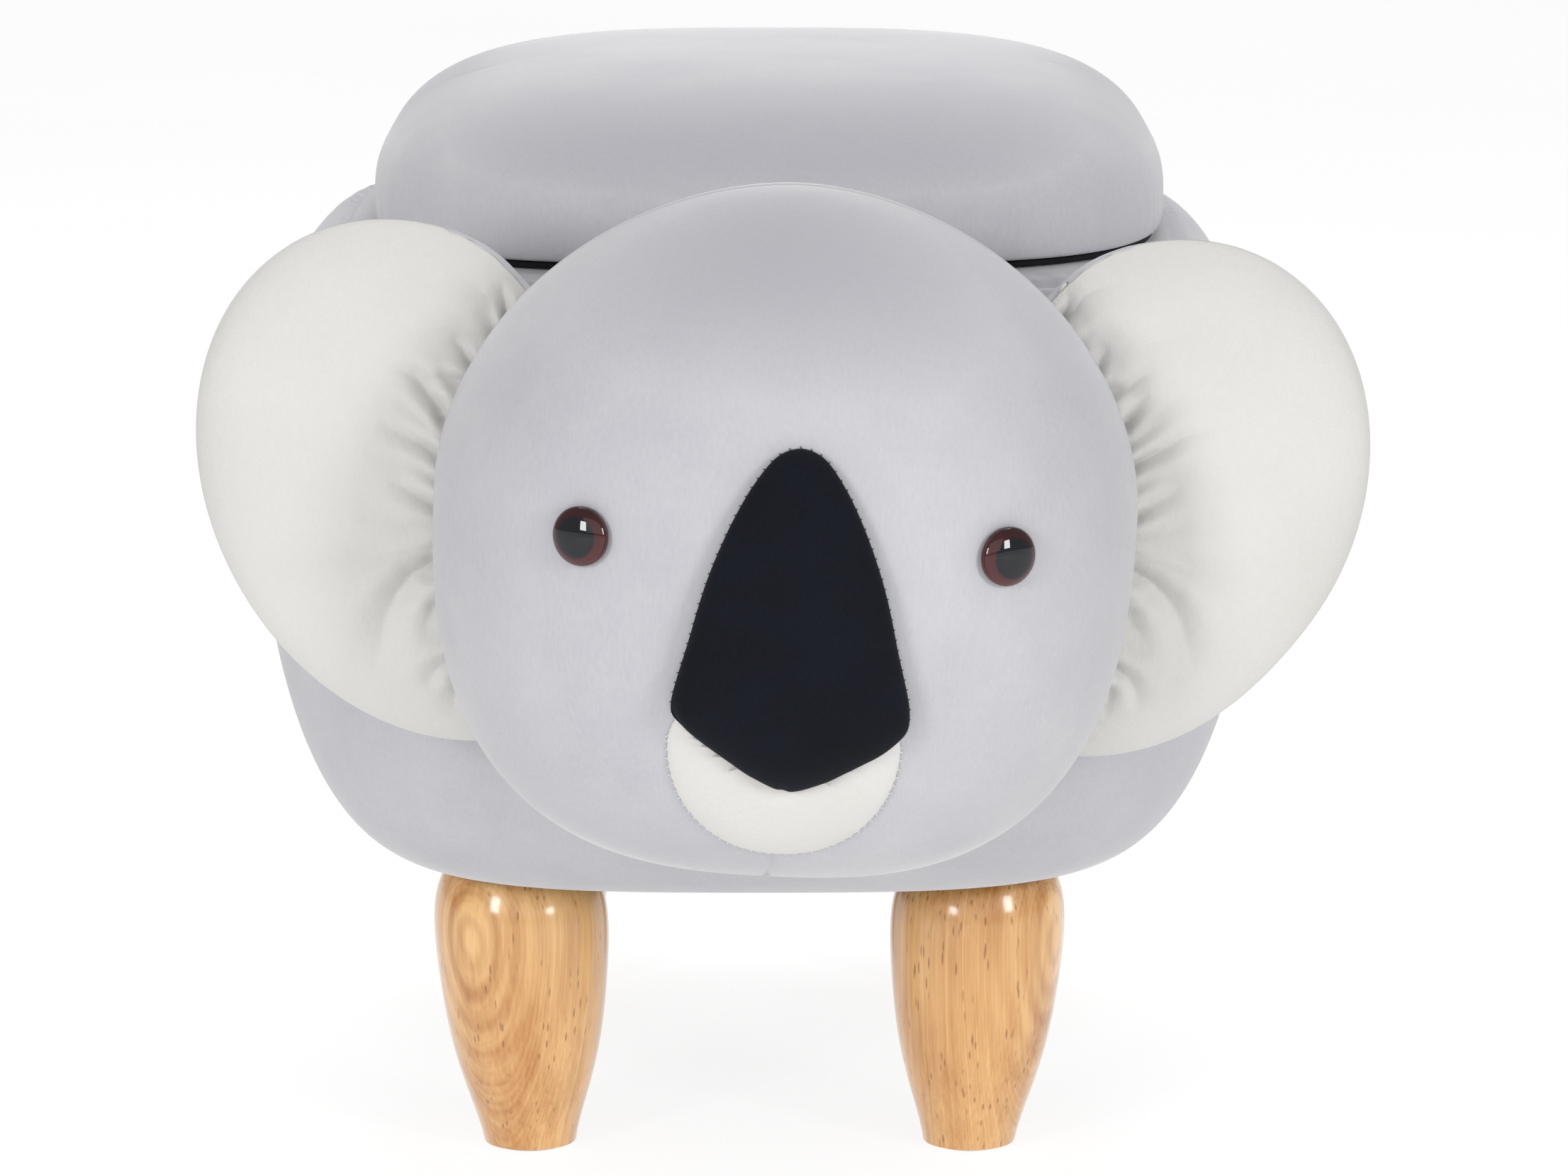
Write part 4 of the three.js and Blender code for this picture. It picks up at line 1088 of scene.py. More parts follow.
class FOOTSTOOL_OT_nose(Operator):
    """Padded nose and the plush patch under it, both sewn to the face"""

    bl_idname = "footstool.nose"
    bl_label = "Nose and patch"

    def execute(self, context):
        sizes = context.scene.footstool_nose
        finishes = context.scene["footstool_finishes"]
        self.nose(sizes, finishes)
        self.patch(sizes, finishes)
        self.stitch(sizes, finishes)
        return {"FINISHED"}

    def nose(self, sizes, finishes):
        """Domed black pad with a fold at its left corner and a crease at its tip."""
        fold_width, fold_height, fold_depth = 2.2 * MM, 7 * MM, 2.2 * MM
        crease_width, crease_depth = 0.9 * MM, 1.2 * MM
        middle = np.array([0.0, sizes.top - 0.6 * sizes.height])

        def rise(spread, spot):
            x, z = spot.T
            dome = sizes.swell * np.clip(1 - spread**2.6, 0, 1) ** (1 / 2.5)
            fold = dip(x + 0.93 * sizes.half_width, fold_width)
            fold = fold * dip(z - sizes.top + 0.81 * sizes.height, fold_height)
            crease = dip(x - 0.3 * MM, crease_width) * np.clip(spread * 6 - 5, 0, 1) * (z < middle[1])
            return dome - fold_depth * fold * (spread < 0.99) - crease_depth * crease

        nose = sewn_pad("nose_pad", nose_outline(150), middle, 26, rise, 0.4 * MM)
        settle(nose, marks(nose, "under"), cap=1.5 * MM, pressure=2.0)
        rounder(nose)
        smooth(nose)
        wear(nose, finishes["nose"], STOOL, "nose_cloth", ["nose_cover", "nose_filling"])

    def patch(self, sizes, finishes):
        """Thin plush patch, bitten by its stitches and pressed flat under the nose."""
        count, bites, bite_depth, pressed = 300, 75, 0.12 * MM, 0.2 * MM
        middle = np.array([0.0, -sizes.patch_drop])

        def rise(spread, _):
            return sizes.patch_thick * np.clip(1 - spread**6, 0, 1) ** 0.5

        edge = patch_outline(count)
        outward = edge - middle
        outward /= np.linalg.norm(outward, axis=1)[:, None]
        bite = bite_depth * np.sin(np.arange(count) / count * 4 * QUARTER * bites)
        patch = sewn_pad("muzzle_plush", edge + outward * bite[:, None], middle, 12, rise, 0.25 * MM)
        local = carried(head_frame().inverted(), points(patch))
        x, z = local[:, 0], local[:, 2]
        share = (z - sizes.top + sizes.height) / sizes.height
        off_middle = np.abs(x - (bpy.context.scene.footstool_head.face_shift + nose_middle(share)))
        sunk = (off_middle < nose_half(share) * sizes.half_width * 0.93) & (share > 0)
        flat, _ = over_face(x, z, np.full(len(local), pressed))
        local[sunk] = flat[sunk]
        place_points(patch, carried(head_frame(), local))
        smooth(patch)
        wear(patch, finishes["patch"], STOOL, "plush", ["muzzle_patch"])

    def stitch(self, sizes, finishes):
        """Overcast stitches round the nose, and the zigzag that holds the patch."""
        nose_line = nose_outline(int(0.29 / sizes.stitch_pitch))
        rows = {
            "nose_stitches": (nose_line, finishes["dark_thread"], "nose_cloth", 1.0 * MM),
            "patch_stitches": (patch_outline(84), finishes["pale_thread"], "plush", 0.7 * MM),
        }
        thread, height = 0.2 * MM, np.array([0.4 * MM])
        place = head_frame()
        shift = bpy.context.scene.footstool_head.face_shift
        for name, (outline, finish, slot_name, reach) in rows.items():
            on_nose = name == "nose_stitches"
            stitch = fresh(bpy.ops.mesh.primitive_uv_sphere_add, segments=8, ring_count=5, radius=1)
            stitch.data.transform(Matrix.Diagonal((reach, thread, thread, 1)))
            smooth(stitch)
            matrices = []
            for index, spot in enumerate(outline):
                if not on_nose and spot[1] > -sizes.patch_drop + 2 * MM:
                    continue
                ahead = outline[(index + 1) % len(outline)]
                tangent = (ahead - spot) / np.linalg.norm(ahead - spot)
                outward = np.array([tangent[1], -tangent[0]])
                lean = 0.55 if on_nose or index % 2 else -0.55
                heading = outward + tangent * lean
                heading /= np.linalg.norm(heading)
                x, z = (spot + outward * 0.2 * MM)[:, None]
                foot, normal = over_face(shift + x, z, height)
                tip, _ = over_face(shift + x + heading[0] * MM, z + heading[1] * MM, height)
                along = Vector(tip[0] - foot[0]).normalized()
                up = Vector(normal[0])
                side = up.cross(along).normalized()
                turn = Matrix((along, side, along.cross(side))).transposed().to_4x4()
                matrices.append(place @ Matrix.Translation(foot[0]) @ turn)
            wear(copies(name, stitch, matrices), finish, STOOL, slot_name)


def ear_frame(sign):
    """Places an ear's own axes."""
    sizes = bpy.context.scene.footstool_head
    both = before_body(sizes.ear_shift, sizes.ear_forward, sizes.ear_rise)
    own = Matrix.Translation((sign * sizes.ear_across, 0, 0)) @ Matrix.Rotation(sign * sizes.ear_lean, 4, "Y")
    return both @ Matrix.Rotation(sizes.ear_roll, 4, "Y") @ own


# Folds of each ear, from its join outwards: depth, half width, and points across and up, all in
# millimetres of the ear's own axes
EAR_FOLDS = {
    "left": (
        (2.4, 1.3, ((50, 37), (52, 42), (53, 46), (55, 49))),
        (1.0, 2.4, ((45, 36), (48, 46), (45, 54), (41, 61))),
        (1.2, 3.0, ((43, 34), (37, 40), (31, 44), (22, 49), (15, 53))),
        (2.2, 1.4, ((33, 27), (33, 33), (33, 36), (31, 41))),
        (2.0, 1.5, ((29, 25), (23, 30), (19, 31), (17, 36), (16, 42))),
        (3.2, 1.5, ((17, 17), (17, 24), (16, 29), (15, 35), (10, 41))),
        (2.8, 1.5, ((10, 6), (7, 13), (4, 18), (1, 22), (-3, 27))),
        (0.9, 3.0, ((6, 2), (2, 9), (-4, 15), (-12, 21))),
        (2.6, 1.6, ((1, -7), (-3, 0), (-6, 5), (-9, 9))),
        (1.2, 3.0, ((-1, -12), (-10, -7), (-15, -3), (-24, 3))),
        (2.0, 3.2, ((-5, -19), (-18, -13), (-32, -8), (-48, -1))),
        (3.8, 3.0, ((-9, -23), (-17, -23), (-24, -26), (-31, -31), (-38, -39), (-45, -48))),
        (1.4, 2.2, ((-15, -35), (-20, -39), (-24, -45))),
        (2.2, 1.7, ((-18, -55), (-24, -55), (-28, -56), (-32, -60))),
        (1.6, 2.0, ((-21, -61), (-26, -68), (-29, -72))),
    ),
    "right": (
        (2.4, 1.3, ((-53, 38), (-54, 45), (-55, 47), (-58, 51))),
        (1.6, 2.0, ((-53, 40), (-51, 45), (-51, 50), (-48, 55), (-42, 62))),
        (1.2, 3.0, ((-43, 35), (-37, 43), (-27, 47), (-20, 54), (-14, 61))),
        (1.8, 1.4, ((-35, 31), (-36, 36), (-36, 41))),
        (2.2, 1.6, ((-30, 27), (-24, 32), (-22, 37), (-19, 43))),
        (3.4, 1.5, ((-18, 20), (-18, 26), (-18, 31), (-17, 35))),
        (1.2, 3.0, ((-15, 16), (-12, 29), (-8, 38), (-4, 45))),
        (2.8, 1.5, ((-10, 9), (-7, 15), (-4, 20), (0, 28), (7, 35))),
        (0.9, 3.0, ((-8, 7), (-1, 13), (5, 16), (11, 22))),
        (2.4, 1.5, ((0, -4), (3, 3), (6, 8), (8, 14))),
        (1.2, 3.0, ((3, -9), (11, -3), (18, 5))),
        (2.0, 2.8, ((6, -14), (17, -10), (29, -6), (45, 2), (58, 7))),
        (3.6, 2.6, ((9, -19), (16, -19), (24, -21), (31, -25), (38, -31), (46, -39))),
        (1.2, 3.0, ((16, -33), (23, -36), (29, -39))),
        (2.2, 1.8, ((21, -50), (27, -51), (32, -54), (37, -59))),
        (1.6, 2.0, ((24, -57), (26, -63), (29, -67))),
    ),
}


def fold_relief(across, up, folds):
    """Depth of the folds at points of an ear's front: a crease with a soft ridge on each side."""
    relief = np.zeros(len(across))
    for depth, width, line in folds:
        spots = np.array(line) * MM
        steps = np.linalg.norm(np.diff(spots, axis=0), axis=1)
        nearest = np.full(len(across), 1.0)
        along = np.zeros(len(across))
        run = 0.0
        for start, end, step in zip(spots[:-1], spots[1:], steps):
            way = (end - start) / step
            reach = np.clip((across - start[0]) * way[0] + (up - start[1]) * way[1], 0, step)
            far = np.hypot(across - start[0] - way[0] * reach, up - start[1] - way[1] * reach)
            closer = far < nearest
            nearest[closer] = far[closer]
            along[closer] = ((run + reach) / steps.sum())[closer]
            run += step
        fade = (1 - along) ** 0.8
        spread = width * MM * (1 + 0.8 * along)
        crease = np.exp(-((nearest / spread) ** 1.2)) + 0.25 * dip(nearest, 3 * spread)
        crease -= 0.45 * dip(nearest - 2.3 * spread, 1.3 * spread)
        relief += 1.2 * depth * MM * fade * crease
    return relief


class FOOTSTOOL_OT_ears(Operator):
    """Two ears: white plush front, velvet back, gathered where they are sewn to the head"""

    bl_idname = "footstool.ears"
    bl_label = "Ears"

    def execute(self, context):
        for name, sign in SIDES:
            self.ear(context, name, sign)
        return {"FINISHED"}

    def outlines(self, sizes, sign, count):
        """Join along the head and seam round the ear, from the top join to the lower one."""
        tuck = 0.945
        flat_share, flat_angle, flat_width = 0.025, 47, 24
        place = ear_frame(sign)
        to_head = head_frame().inverted() @ place
        angle = np.linspace(-math.pi, math.pi, 1441)
        wide, high = sizes.ear_half_width, sizes.ear_half_height
        rim = np.stack([wide * np.cos(angle), 0 * angle, high * np.sin(angle)], axis=1)
        in_head = carried(to_head, rim)
        order = np.nonzero(face_share(in_head[:, 0], in_head[:, 2]) > tuck)[0]
        if sign > 0:
            order = order[::-1]
        else:
            order = order[np.argsort(angle[order] % (2 * math.pi), kind="stable")]
        head_angle = np.arctan2(in_head[order][:, 2], np.abs(in_head[order][:, 0]))
        top, low = head_angle[0] - sizes.ear_lobe / sizes.half_width, head_angle[-1]
        join_angle = top + (low - top) * np.linspace(0, 1, count)
        across, up = np.cos(join_angle), np.sin(join_angle)
        reach = 1 / face_share(across, up)
        join_head = np.stack([sign * across * reach * tuck, 0 * reach, up * reach * tuck], axis=1)
        join = carried(to_head.inverted(), join_head)[:, [0, 2]]
        outer, run = evened(rim[order], count, True)
        if sign > 0:
            # The right ear's lower side is a little flatter than its oval
            away = carried(place, np.insert(outer, 1, 0, axis=1)) - np.array(place.translation)
            low_side = np.degrees(np.arctan2(away[:, 2], away[:, 0])) + flat_angle
            outer *= 1 - flat_share * dip(low_side, flat_width)[:, None]
        outer += (join[0] - outer[0]) * dip(run, 3 * sizes.ear_lobe)[:, None]
        return join, outer, np.degrees(join_angle)

    def form(self, sizes, name, sign):
        """Padded ear before it is filled, with its back, its seam and its join marked."""
        columns, front_rows, back_rows = 150, 34, 24
        draw_reach, gather_reach, gather_height, join_reach = 12 * MM, 8 * MM, 0.7 * MM, 4 * MM
        join, outer, degrees = self.outlines(sizes, sign, columns + 1)
        rows = front_rows + back_rows
        piece, across, along = cloth_grid("ear_" + name, columns, rows)
        column = np.rint(across * columns).astype(int)
        row = np.rint(along * rows).astype(int)
        front = row <= front_rows
        share = np.where(front, row / front_rows, 1 - (row - front_rows) / back_rows)
        ease = np.sin(share * QUARTER) * 0.45 + share * 0.55
        spot = join[column] + (outer[column] - join[column]) * ease[:, None]
        x, z = spot.T
        radius = np.minimum(np.hypot(x / sizes.ear_half_width, z / sizes.ear_half_height), 1)
        dome = (1 - radius**EAR_ROUND) ** (1 / EAR_ROUND)
        far = np.linalg.norm(spot - join[column], axis=1)
        drawn = 1 - 0.05 * dip(far, draw_reach)
        swell = np.where(front, -sizes.ear_swell, sizes.ear_back_swell) * dome * drawn
        gathers = np.sin(degrees[column] * 2.1 + 1.5 * np.sin(degrees[column] * 0.37))
        gathers = gathers * dip(far, gather_reach)
        ends = np.clip(np.minimum(across, 1 - across) * 14, 0, 1)
        y = swell + np.where(front, 1, -0.7) * gathers * ends * gather_height
        place_points(piece, clear_of_body(carried(ear_frame(sign), np.stack([x, y, z], axis=1))))
        # The velvet of the back wraps round to the front near the top join
        wrap = np.rint(2.6 * dip(across - 0.05, 0.05))
        marks(piece, "back", np.where(row > front_rows - wrap, 1.0, 0.0))
        marks(piece, "seam", np.where(row == front_rows - wrap, 1.0, 0.0))
        marks(piece, "join", dip(far, join_reach))
        return closed(piece, 0.05 * MM)

    def ear(self, context, name, sign):
        finishes = context.scene["footstool_finishes"]
        piece = self.form(context.scene.footstool_head, name, sign)
        hold = np.clip(marks(piece, "join") * 1.6, 0, 1)
        hold[hold < 0.3] = 0
        settle(piece, hold, cap=3 * MM, pressure=1.5)
        rounder(piece)
        place = ear_frame(sign)
        local = carried(place.inverted(), points(piece))
        shown = 1 - np.clip(marks(piece, "back") * 3, 0, 1)
        local[:, 1] += shown * fold_relief(local[:, 0], local[:, 2], EAR_FOLDS[name])
        places = carried(place, local)
        place_points(piece, places)
        push(piece, places, -(marks(piece, "seam") ** 2) * 0.8 * MM)
        smooth(piece)
        panel = piece.copy()
        panel.data = piece.data.copy()
        panel.name = "ear_back_" + name
        context.scene.collection.objects.link(panel)
        piece.name = "ear_front_" + name
        self.keep(piece, True)
        self.keep(panel, False)
        wear(piece, finishes["plush"], STOOL, "plush", ["ear_front_panel_" + name, "ear_filling_" + name])
        wear(panel, finishes["velvet"], STOOL, "velvet", ["ear_back_panel_" + name])

    def keep(self, piece, front):
        """Keeps one panel of an ear and gives it the thickness of its cloth."""
        back = marks(piece, "back")
        alone(piece)
        bpy.ops.object.mode_set(mode="EDIT")
        bpy.ops.mesh.select_all(action="DESELECT")
        bpy.ops.object.mode_set(mode="OBJECT")
        for face in piece.data.polygons:
            mean = sum(back[v] for v in face.vertices) / len(face.vertices)
            face.select = bool((mean > 0.25) == front)
        bpy.ops.object.mode_set(mode="EDIT")
        bpy.ops.mesh.delete(type="FACE")
        bpy.ops.object.mode_set(mode="OBJECT")
        apply(piece, "SOLIDIFY", thickness=1.2 * MM, offset=-1)


def turned(name, profile, sides, lean=0.0):
    """Turned piece: a disc at its foot, extruded up and resized along the profile."""
    radius, height = profile[0]
    disc = {"vertices": sides, "radius": radius, "fill_type": "NGON", "location": (0, 0, height)}
    piece = fresh(bpy.ops.mesh.primitive_circle_add, **disc)
    piece.name = name
    bpy.ops.object.transform_apply(location=True)
    bpy.ops.object.mode_set(mode="EDIT")
    bpy.ops.mesh.select_all(action="SELECT")
    middle = Vector((0, 0, height))
    for next_radius, next_height in profile[1:]:
        rise = next_height - height
        step = (lean * rise, 0.0, rise)
        bpy.ops.mesh.extrude_region_move(TRANSFORM_OT_translate={"value": step})
        middle += Vector(step)
        ratio = next_radius / radius
        bpy.ops.transform.resize(value=(ratio, ratio, 1), center_override=middle)
        radius, height = next_radius, next_height
    bpy.ops.mesh.select_all(action="SELECT")
    bpy.ops.mesh.normals_make_consistent(inside=False)
    bpy.ops.object.mode_set(mode="OBJECT")
    return piece


def leg_profile(radius, high):
    """Radii and heights up a leg: eased foot, long taper, full shoulder, rounded top."""
    heights = [0, 0.2, 0.4, 0.6, 0.77, 0.92, 1]
    widths = [0.53, 0.715, 0.875, 0.972, 1, 0.955, 0.83]
    shares = np.concatenate([np.linspace(0, 0.7, 19), np.linspace(0.7, 1, 15)[1:]])
    fit = np.polyfit(heights, widths, 5)
    return [(float(np.polyval(fit, share)) * radius, share * high) for share in shares]


class FOOTSTOOL_OT_legs(Operator):
    """Four turned legs with their glides"""

    bl_idname = "footstool.legs"
    bl_label = "Legs"

    def execute(self, context):
        sizes = context.scene.footstool_legs
        bore_radius, bore_depth, edge_round, glide_edge = 4.3 * MM, 30.3 * MM, 1.1 * MM, 0.6 * MM
        # The way the growth rings face, their tilt and their own pattern, for each leg
        grain = {
            "front_left": (-31, 2, 0.2),
            "front_right": (62, -3, 1.0),
            "rear_left": (140, 2, 1.8),
            "rear_right": (-120, -2, 2.6),
        }
        for corner, (facing, tilt, seed) in grain.items():
            node = "leg_" + corner
            low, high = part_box(node)
            rise = high.z - low.z
            nut, _ = span("leg_tee_nut_" + corner)
            foot, _ = span("leg_glide_" + corner)
            bore = [(bore_radius, rise), (bore_radius, rise - bore_depth)]
            profile = leg_profile(sizes.radius, rise) + bore
            leg = turned("turned_" + node, profile, sizes.sides, (nut.x - foot.x) / rise)
            leg.data.transform(Matrix.Translation((foot.x, foot.y, low.z)))
            weights = leg.data.attributes.new("bevel_weight_edge", "FLOAT", "EDGE")
            for edge in leg.data.edges:
                weights.data[edge.index].value = self.rim(leg, edge, low.z, high.z)
            apply(leg, "BEVEL", limit_method="WEIGHT", width=edge_round, segments=3)
            smooth(leg, math.radians(50))
            thickest = (nut.x, nut.y, low.z + 0.77 * rise)
            turns = math.radians(facing), math.radians(tilt)
            finish = wood_finish("leg_wood_" + corner, thickest, *turns, seed)
            wear(leg, finish, STOOL, "leg_wood", [node])
            radius = sizes.glide_radius
            profile = [(radius - glide_edge, 0), (radius, glide_edge), (radius, low.z)]
            glide = turned("glide_" + corner, profile, 40)
            glide.data.transform(Matrix.Translation((foot.x, foot.y, 0)))
            smooth(glide, math.radians(35))
            wear(glide, context.scene["footstool_finishes"]["nylon"], STOOL, "nylon", ["leg_glide_" + corner])
        return {"FINISHED"}

    def rim(self, leg, edge, low, high):
        """1 for an edge that runs round the foot or the top of a leg, else 0."""
        first, second = (leg.data.vertices[v].co for v in edge.vertices)
        level = abs(first.z - second.z) < 1e-6
        outer = (first - second).length > 0.9 * MM
        return float(level and outer and (abs(first.z - low) < 1e-5 or abs(first.z - high) < 1e-5))


def eye_places():
    """Centre and turn of each eye on the face."""
    sizes = bpy.context.scene.footstool_head
    place = head_frame()
    for name, sign in SIDES:
        x = np.array([sizes.face_shift + sign * sizes.eye_across])
        spot, normal = over_face(x, np.array([-sizes.eye_drop]), np.zeros(1))
        turn = Vector((0, 0, 1)).rotation_difference(Vector(normal[0])).to_matrix().to_4x4()
        yield name, place @ Matrix.Translation(spot[0]) @ turn


class FOOTSTOOL_OT_eyes(Operator):
    """Safety eyes: coloured back on a shank, glossy dome over it"""

    bl_idname = "footstool.eyes"
    bl_label = "Eyes"

    def execute(self, context):
        sizes = context.scene.footstool_head
        finishes = context.scene["footstool_finishes"]
        radius = sizes.eye_radius
        width = radius / MM
        # Radii and heights of the back, in millimetres
        shank = ((2.2, -15), (2.6, -14.6), (2.6, 0.1))
        rim = ((width - 0.4, 0.1), (width - 0.1, 0.4), (width - 0.1, 0.9), (width - 0.5, 1.1))
        foot, edge, inset = 1.15 * MM, 0.25 * MM, 0.2 * MM
        for name, place in eye_places():
            back = turned("eye_back_" + name, [(r * MM, z * MM) for r, z in shank + rim], 56)
            back.data.transform(place)
            smooth(back, math.radians(35))
            wear(back, finishes["shank"], STOOL, "eye_colour", ["eye_back_" + name])
            dome = [(radius - inset, foot), (radius, foot + edge)]
            for share in np.linspace(0.06, 0.995, 20):
                out, up = squircle(share * QUARTER, radius, sizes.lens_height, 2)
                dome.append((float(out), foot + edge + float(up)))
            lens = turned("eye_lens_" + name, dome, 64)
            lens.data.transform(place)
            smooth(lens, math.radians(50))
            turn = place.to_3x3()
            aside = -0.03 if name == "left" else 0.03
            finish = eye_finish(place.translation, turn.col[0], turn.col[1], radius, aside)
            wear(lens, finish, STOOL, "eye_lens", ["eye_lens_" + name])
        return {"FINISHED"}


class FOOTSTOOL_OT_linings(Operator):
    """Cloth lining of the box, black lining of the lid and dust cover under the stool"""

    bl_idname = "footstool.linings"
    bl_label = "Linings"

    def execute(self, context):
        finishes = context.scene["footstool_finishes"]
        self.liner(finishes)
        self.lid_lining(context.scene.footstool_body, finishes)
        self.dust_cover(finishes)
        return {"FINISHED"}

    def liner(self, finishes):
        """Open lining of the storage box, a little slack between its sewn edges."""
        centre, half = span("storage_liner")
        low, high = centre.z - half.z, centre.z + half.z
        thick, cloth, bend, edge = 1.2 * MM, 0.9 * MM, 5 * MM, 0.2 * MM
        corner_draw, slack_depth, floor_rows = 3.4 * MM, 0.9 * MM, 5
        slack_x, slack_y = 110 * MM, 140 * MM
        floor = low + thick
        outer = half.x - thick
        side = [(0.0, floor), (outer * 0.35, floor), (outer * 0.7, floor), (outer - bend, floor)]
        side += [(outer - bend * 0.3, floor + bend * 0.3), (outer, floor + bend)]
        side += [(outer, z) for z in np.linspace(floor + bend, high - 1.5 * MM, 14)[1:]]
        side += [(outer, high - edge), (outer + edge, high), (half.x, high)]
        gain = half.y - half.x
        piece, angle, row, share, places = lofted("storage_lining", 160, side, outer, gain, BOX_SQUARE)
        x, y, z = places.T
        corner = corner_draw * np.abs(np.sin(2 * angle)) ** 6 * share * (row < len(side) - 1)
        drawn = 1 - corner / np.maximum(np.hypot(x, y), MM)
        wave = 0.5 + 0.5 * np.sin(angle * 9 + 1.3)
        slack = np.sin((z - low) / (high - low) * math.pi) * wave * slack_depth
        slack = slack * (row > floor_rows)
        x, y = x * drawn * (1 - slack / slack_x), y * drawn * (1 - slack / slack_y)
        place_points(piece, np.stack([centre.x + x, centre.y + y, z], axis=1))
        edit(piece, (bpy.ops.mesh.remove_doubles, {"threshold": 0.01 * MM}))
        if any(face.center.z < low + 2 * MM and face.normal.z < 0 for face in piece.data.polygons):
            edit(piece, (bpy.ops.mesh.flip_normals, {}))
        apply(piece, "SOLIDIFY", thickness=cloth, offset=-1)
        rounder(piece)
        smooth(piece)
        wear(piece, finishes["liner"], STOOL, "liner", ["storage_liner"])
        width, depth = 2 * (half.x + half.z * 2), 2 * (half.y + half.z * 2)
        area = min(self.one_side(piece), width * depth * 0.99)

    def one_side(self, piece):
        """Area of one face of a thin piece."""
        return sum(face.area for face in piece.data.polygons) / 2

    def plate(self, name, centre, half, gain, square, low, high, cuts=()):
        """Thin cloth-covered plate with rounded edges, and its notches."""
        rim = 0.35 * (high - low)
        middle, inner, near = half * 0.5, half - 3 * rim, half - 0.3 * rim
        side = [(0.0, high), (middle, high), (inner, high), (near, high - 0.3 * rim), (half, high - rim)]
        side += [(half, low + rim), (near, low + 0.3 * rim), (inner, low), (middle, low), (0.0, low)]
        piece, _, _, _, places = lofted(name, 160, side, half, gain, square)
        place_points(piece, places + [centre.x, centre.y, 0])
        closed(piece)
        for corner_low, corner_high in cuts:
            middle, size = (corner_low + corner_high) / 2, corner_high - corner_low
            cutter = fresh(bpy.ops.mesh.primitive_cube_add, size=1, location=middle, scale=size)
            bpy.ops.object.transform_apply(location=True, scale=True)
            cut_away(piece, cutter)
        smooth(piece, math.radians(40))
        return piece

    def lid_lining(self, sizes, finishes):
        """Black lining, notched round the hinge leaves."""
        low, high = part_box("lid_lining")
        play, past = 0.3 * MM, 5 * MM
        notches = []
        for name, _ in SIDES:
            leaf_low, leaf_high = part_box("hinge_moving_leaf_" + name)
            corner = Vector((leaf_high.x + play, high.y + past, high.z + past))
            notches.append((Vector((leaf_low.x - play, leaf_low.y - play, low.z - past)), corner))
        reach = lid_half.x - sizes.lid_tuck - sizes.lining_inset
        piece = self.plate("lid_underside", lid_centre, reach, lid_gain, LID_SQUARE, low.z, high.z, notches)
        wear(piece, finishes["black"], LID, "black_cloth", ["lid_lining"])

    def dust_cover(self, finishes):
        """Black cloth under the base board."""
        centre, half = span("dust_cover")
        low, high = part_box("dust_cover")
        piece = self.plate("underside_cloth", centre, half.x, half.y - half.x, BOX_SQUARE, low.z, high.z)
        wear(piece, finishes["black"], STOOL, "black_cloth", ["dust_cover"])


class FOOTSTOOL_OT_fittings(Operator):
    """Screws of the hinges, and finishes of the nodes that stay"""

    bl_idname = "footstool.fittings"
    bl_label = "Hinge screws and boards"

    def execute(self, context):
        finishes = context.scene["footstool_finishes"]
        self.screws("fixed", STOOL, True, finishes["steel"])
        self.screws("moving", LID, False, finishes["steel"])
        for row in frame["record"]["subparts"]:
            node = frame["nodes"][row["node"]]
            if not node.hide_render:
                node.data.materials.clear()
                node.data.materials.append(finishes[row["material_slot"]])
                smooth(node, math.radians(30))
        return {"FINISHED"}

    def screws(self, kind, body, up, finish):
        """Three crosshead screws in each leaf of one kind."""
        seat, hole_line = 1.2 * MM, 10.95 * MM
        slot_length, slot_width, slot_depth = 3 * MM, 0.6 * MM, 1.1 * MM
        # Radii and heights of a screw, in millimetres
        shape = ((1.3, -9), (1.35, -1.2), (1.5, -0.4), (2.6, 0.02), (2.5, 0.1))
        flip = Matrix.Identity(4) if up else Matrix.Rotation(math.pi, 4, "X")
        matrices = []
        for name, _ in SIDES:
            low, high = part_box(f"hinge_{kind}_leaf_{name}")
            middle, width = (low.x + high.x) / 2, high.x - low.x
            level = low.z + seat if up else high.z - seat
            for place in (-1, 0, 1):
                spot = Matrix.Translation((middle + place * width * 0.3, low.y + hole_line, level))
                matrices.append(spot @ flip @ Matrix.Rotation(0.4 + place * 0.9, 4, "Z"))
        screw = turned("screw", [(r * MM, z * MM) for r, z in shape], 24)
        size = slot_length, slot_width, slot_depth
        bar = fresh(bpy.ops.mesh.primitive_cube_add, size=1, location=(0, 0, 0.1 * MM), scale=size)
        bpy.ops.object.duplicate()
        cross = bpy.context.object
        cross.rotation_euler = (0, 0, QUARTER)
        cut_away(screw, bar, cross)
        smooth(screw, math.radians(35))
        wear(copies(f"hinge_screws_{kind}", screw, matrices), finish, body, "steel")


class FOOTSTOOL_PT_panel(Panel):
    """Lists the footstool's parts."""

    bl_label = "Footstool"
    bl_idname = "FOOTSTOOL_PT_panel"
    bl_space_type = "VIEW_3D"
    bl_region_type = "UI"
    bl_category = "Footstool"

    def draw(self, context):
        for operator in OPERATORS:
            self.layout.operator(operator.bl_idname)
        for group in (key for key, _ in GROUPS):
            box = self.layout.box()
            for key in getattr(context.scene, group).bl_rna.properties.keys():
                if key not in ("rna_type", "name"):
                    box.prop(getattr(context.scene, group), key)


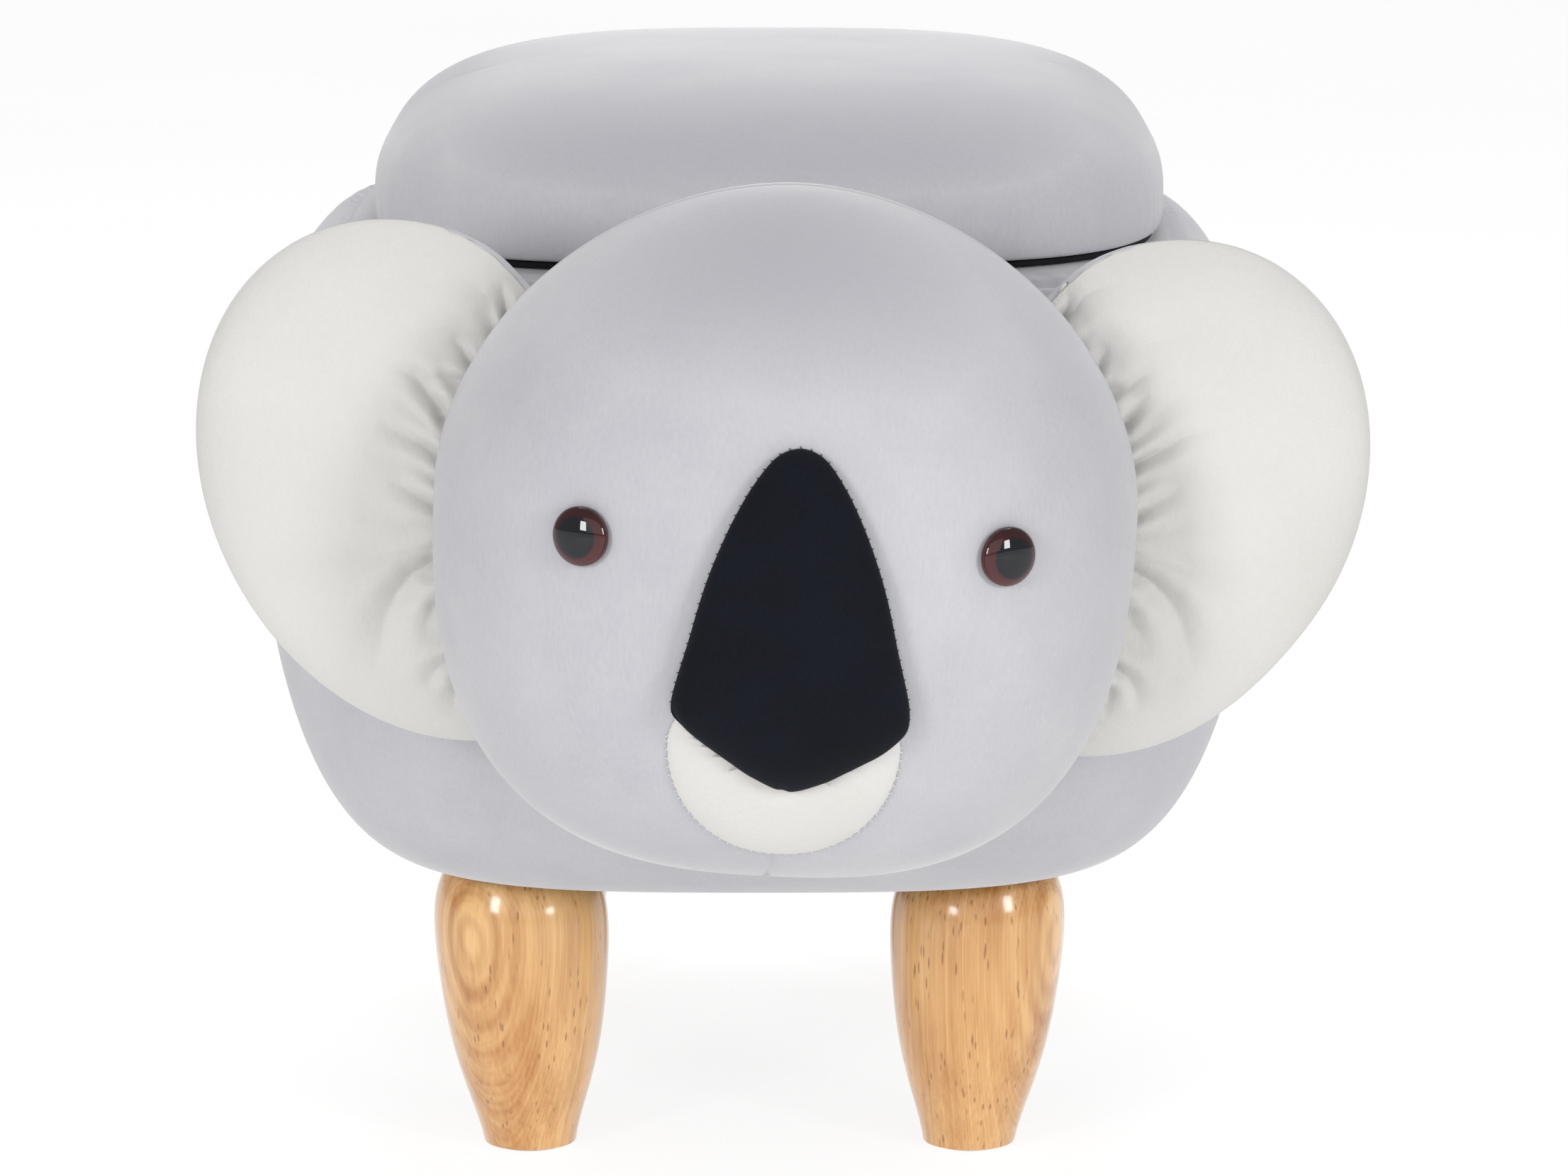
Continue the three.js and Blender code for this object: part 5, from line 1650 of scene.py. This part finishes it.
GROUPS = (
    ("footstool_body", FootstoolBody),
    ("footstool_head", FootstoolHead),
    ("footstool_nose", FootstoolNose),
    ("footstool_legs", FootstoolLegs),
    ("footstool_colours", FootstoolColours),
)
OPERATORS = (
    FOOTSTOOL_OT_stage,
    FOOTSTOOL_OT_body,
    FOOTSTOOL_OT_lid,
    FOOTSTOOL_OT_head,
    FOOTSTOOL_OT_nose,
    FOOTSTOOL_OT_ears,
    FOOTSTOOL_OT_legs,
    FOOTSTOOL_OT_eyes,
    FOOTSTOOL_OT_linings,
    FOOTSTOOL_OT_fittings,
)


def register():
    for key, group in GROUPS:
        bpy.utils.register_class(group)
        setattr(bpy.types.Scene, key, PointerProperty(type=group))
    for operator in OPERATORS:
        bpy.utils.register_class(operator)
    bpy.utils.register_class(FOOTSTOOL_PT_panel)


def unregister():
    bpy.utils.unregister_class(FOOTSTOOL_PT_panel)
    for operator in reversed(OPERATORS):
        bpy.utils.unregister_class(operator)
    for key, group in reversed(GROUPS):
        delattr(bpy.types.Scene, key)
        bpy.utils.unregister_class(group)


def mix_finishes():
    """Makes each finish once; the scene keeps them by name for the operators."""
    tints = bpy.context.scene.footstool_colours
    bpy.context.scene["footstool_finishes"] = {
        "velvet": velvet_finish(),
        "plush": plush_finish("plush", 1.0),
        # Painted light: the patch's plush is the ears' plush made 7% lighter, for the stronger light on the
        # face
        "patch": plush_finish("patch_plush_painted_light", 1.07),
        "nose": nose_finish(),
        "black": felt_finish("black_cloth", tuple(tints.black), 0.6),
        "liner": felt_finish("liner_cloth", tuple(tints.liner)),
        "board": board_finish(),
        "steel": steel_finish(),
        "nylon": nylon_finish(),
        "shank": shank_finish(),
        "dark_thread": thread_finish("dark_thread", light(22, 24, 32)),
        "pale_thread": thread_finish("pale_thread", light(206, 206, 204)),
    }


def main():
    register()
    mix_finishes()
    bpy.ops.footstool.stage()
    bpy.ops.footstool.body()
    bpy.ops.footstool.lid()
    bpy.ops.footstool.head()
    bpy.ops.footstool.nose()
    bpy.ops.footstool.ears()
    bpy.ops.footstool.legs()
    bpy.ops.footstool.eyes()
    bpy.ops.footstool.linings()
    bpy.ops.footstool.fittings()


if __name__ == "__main__":
    main()
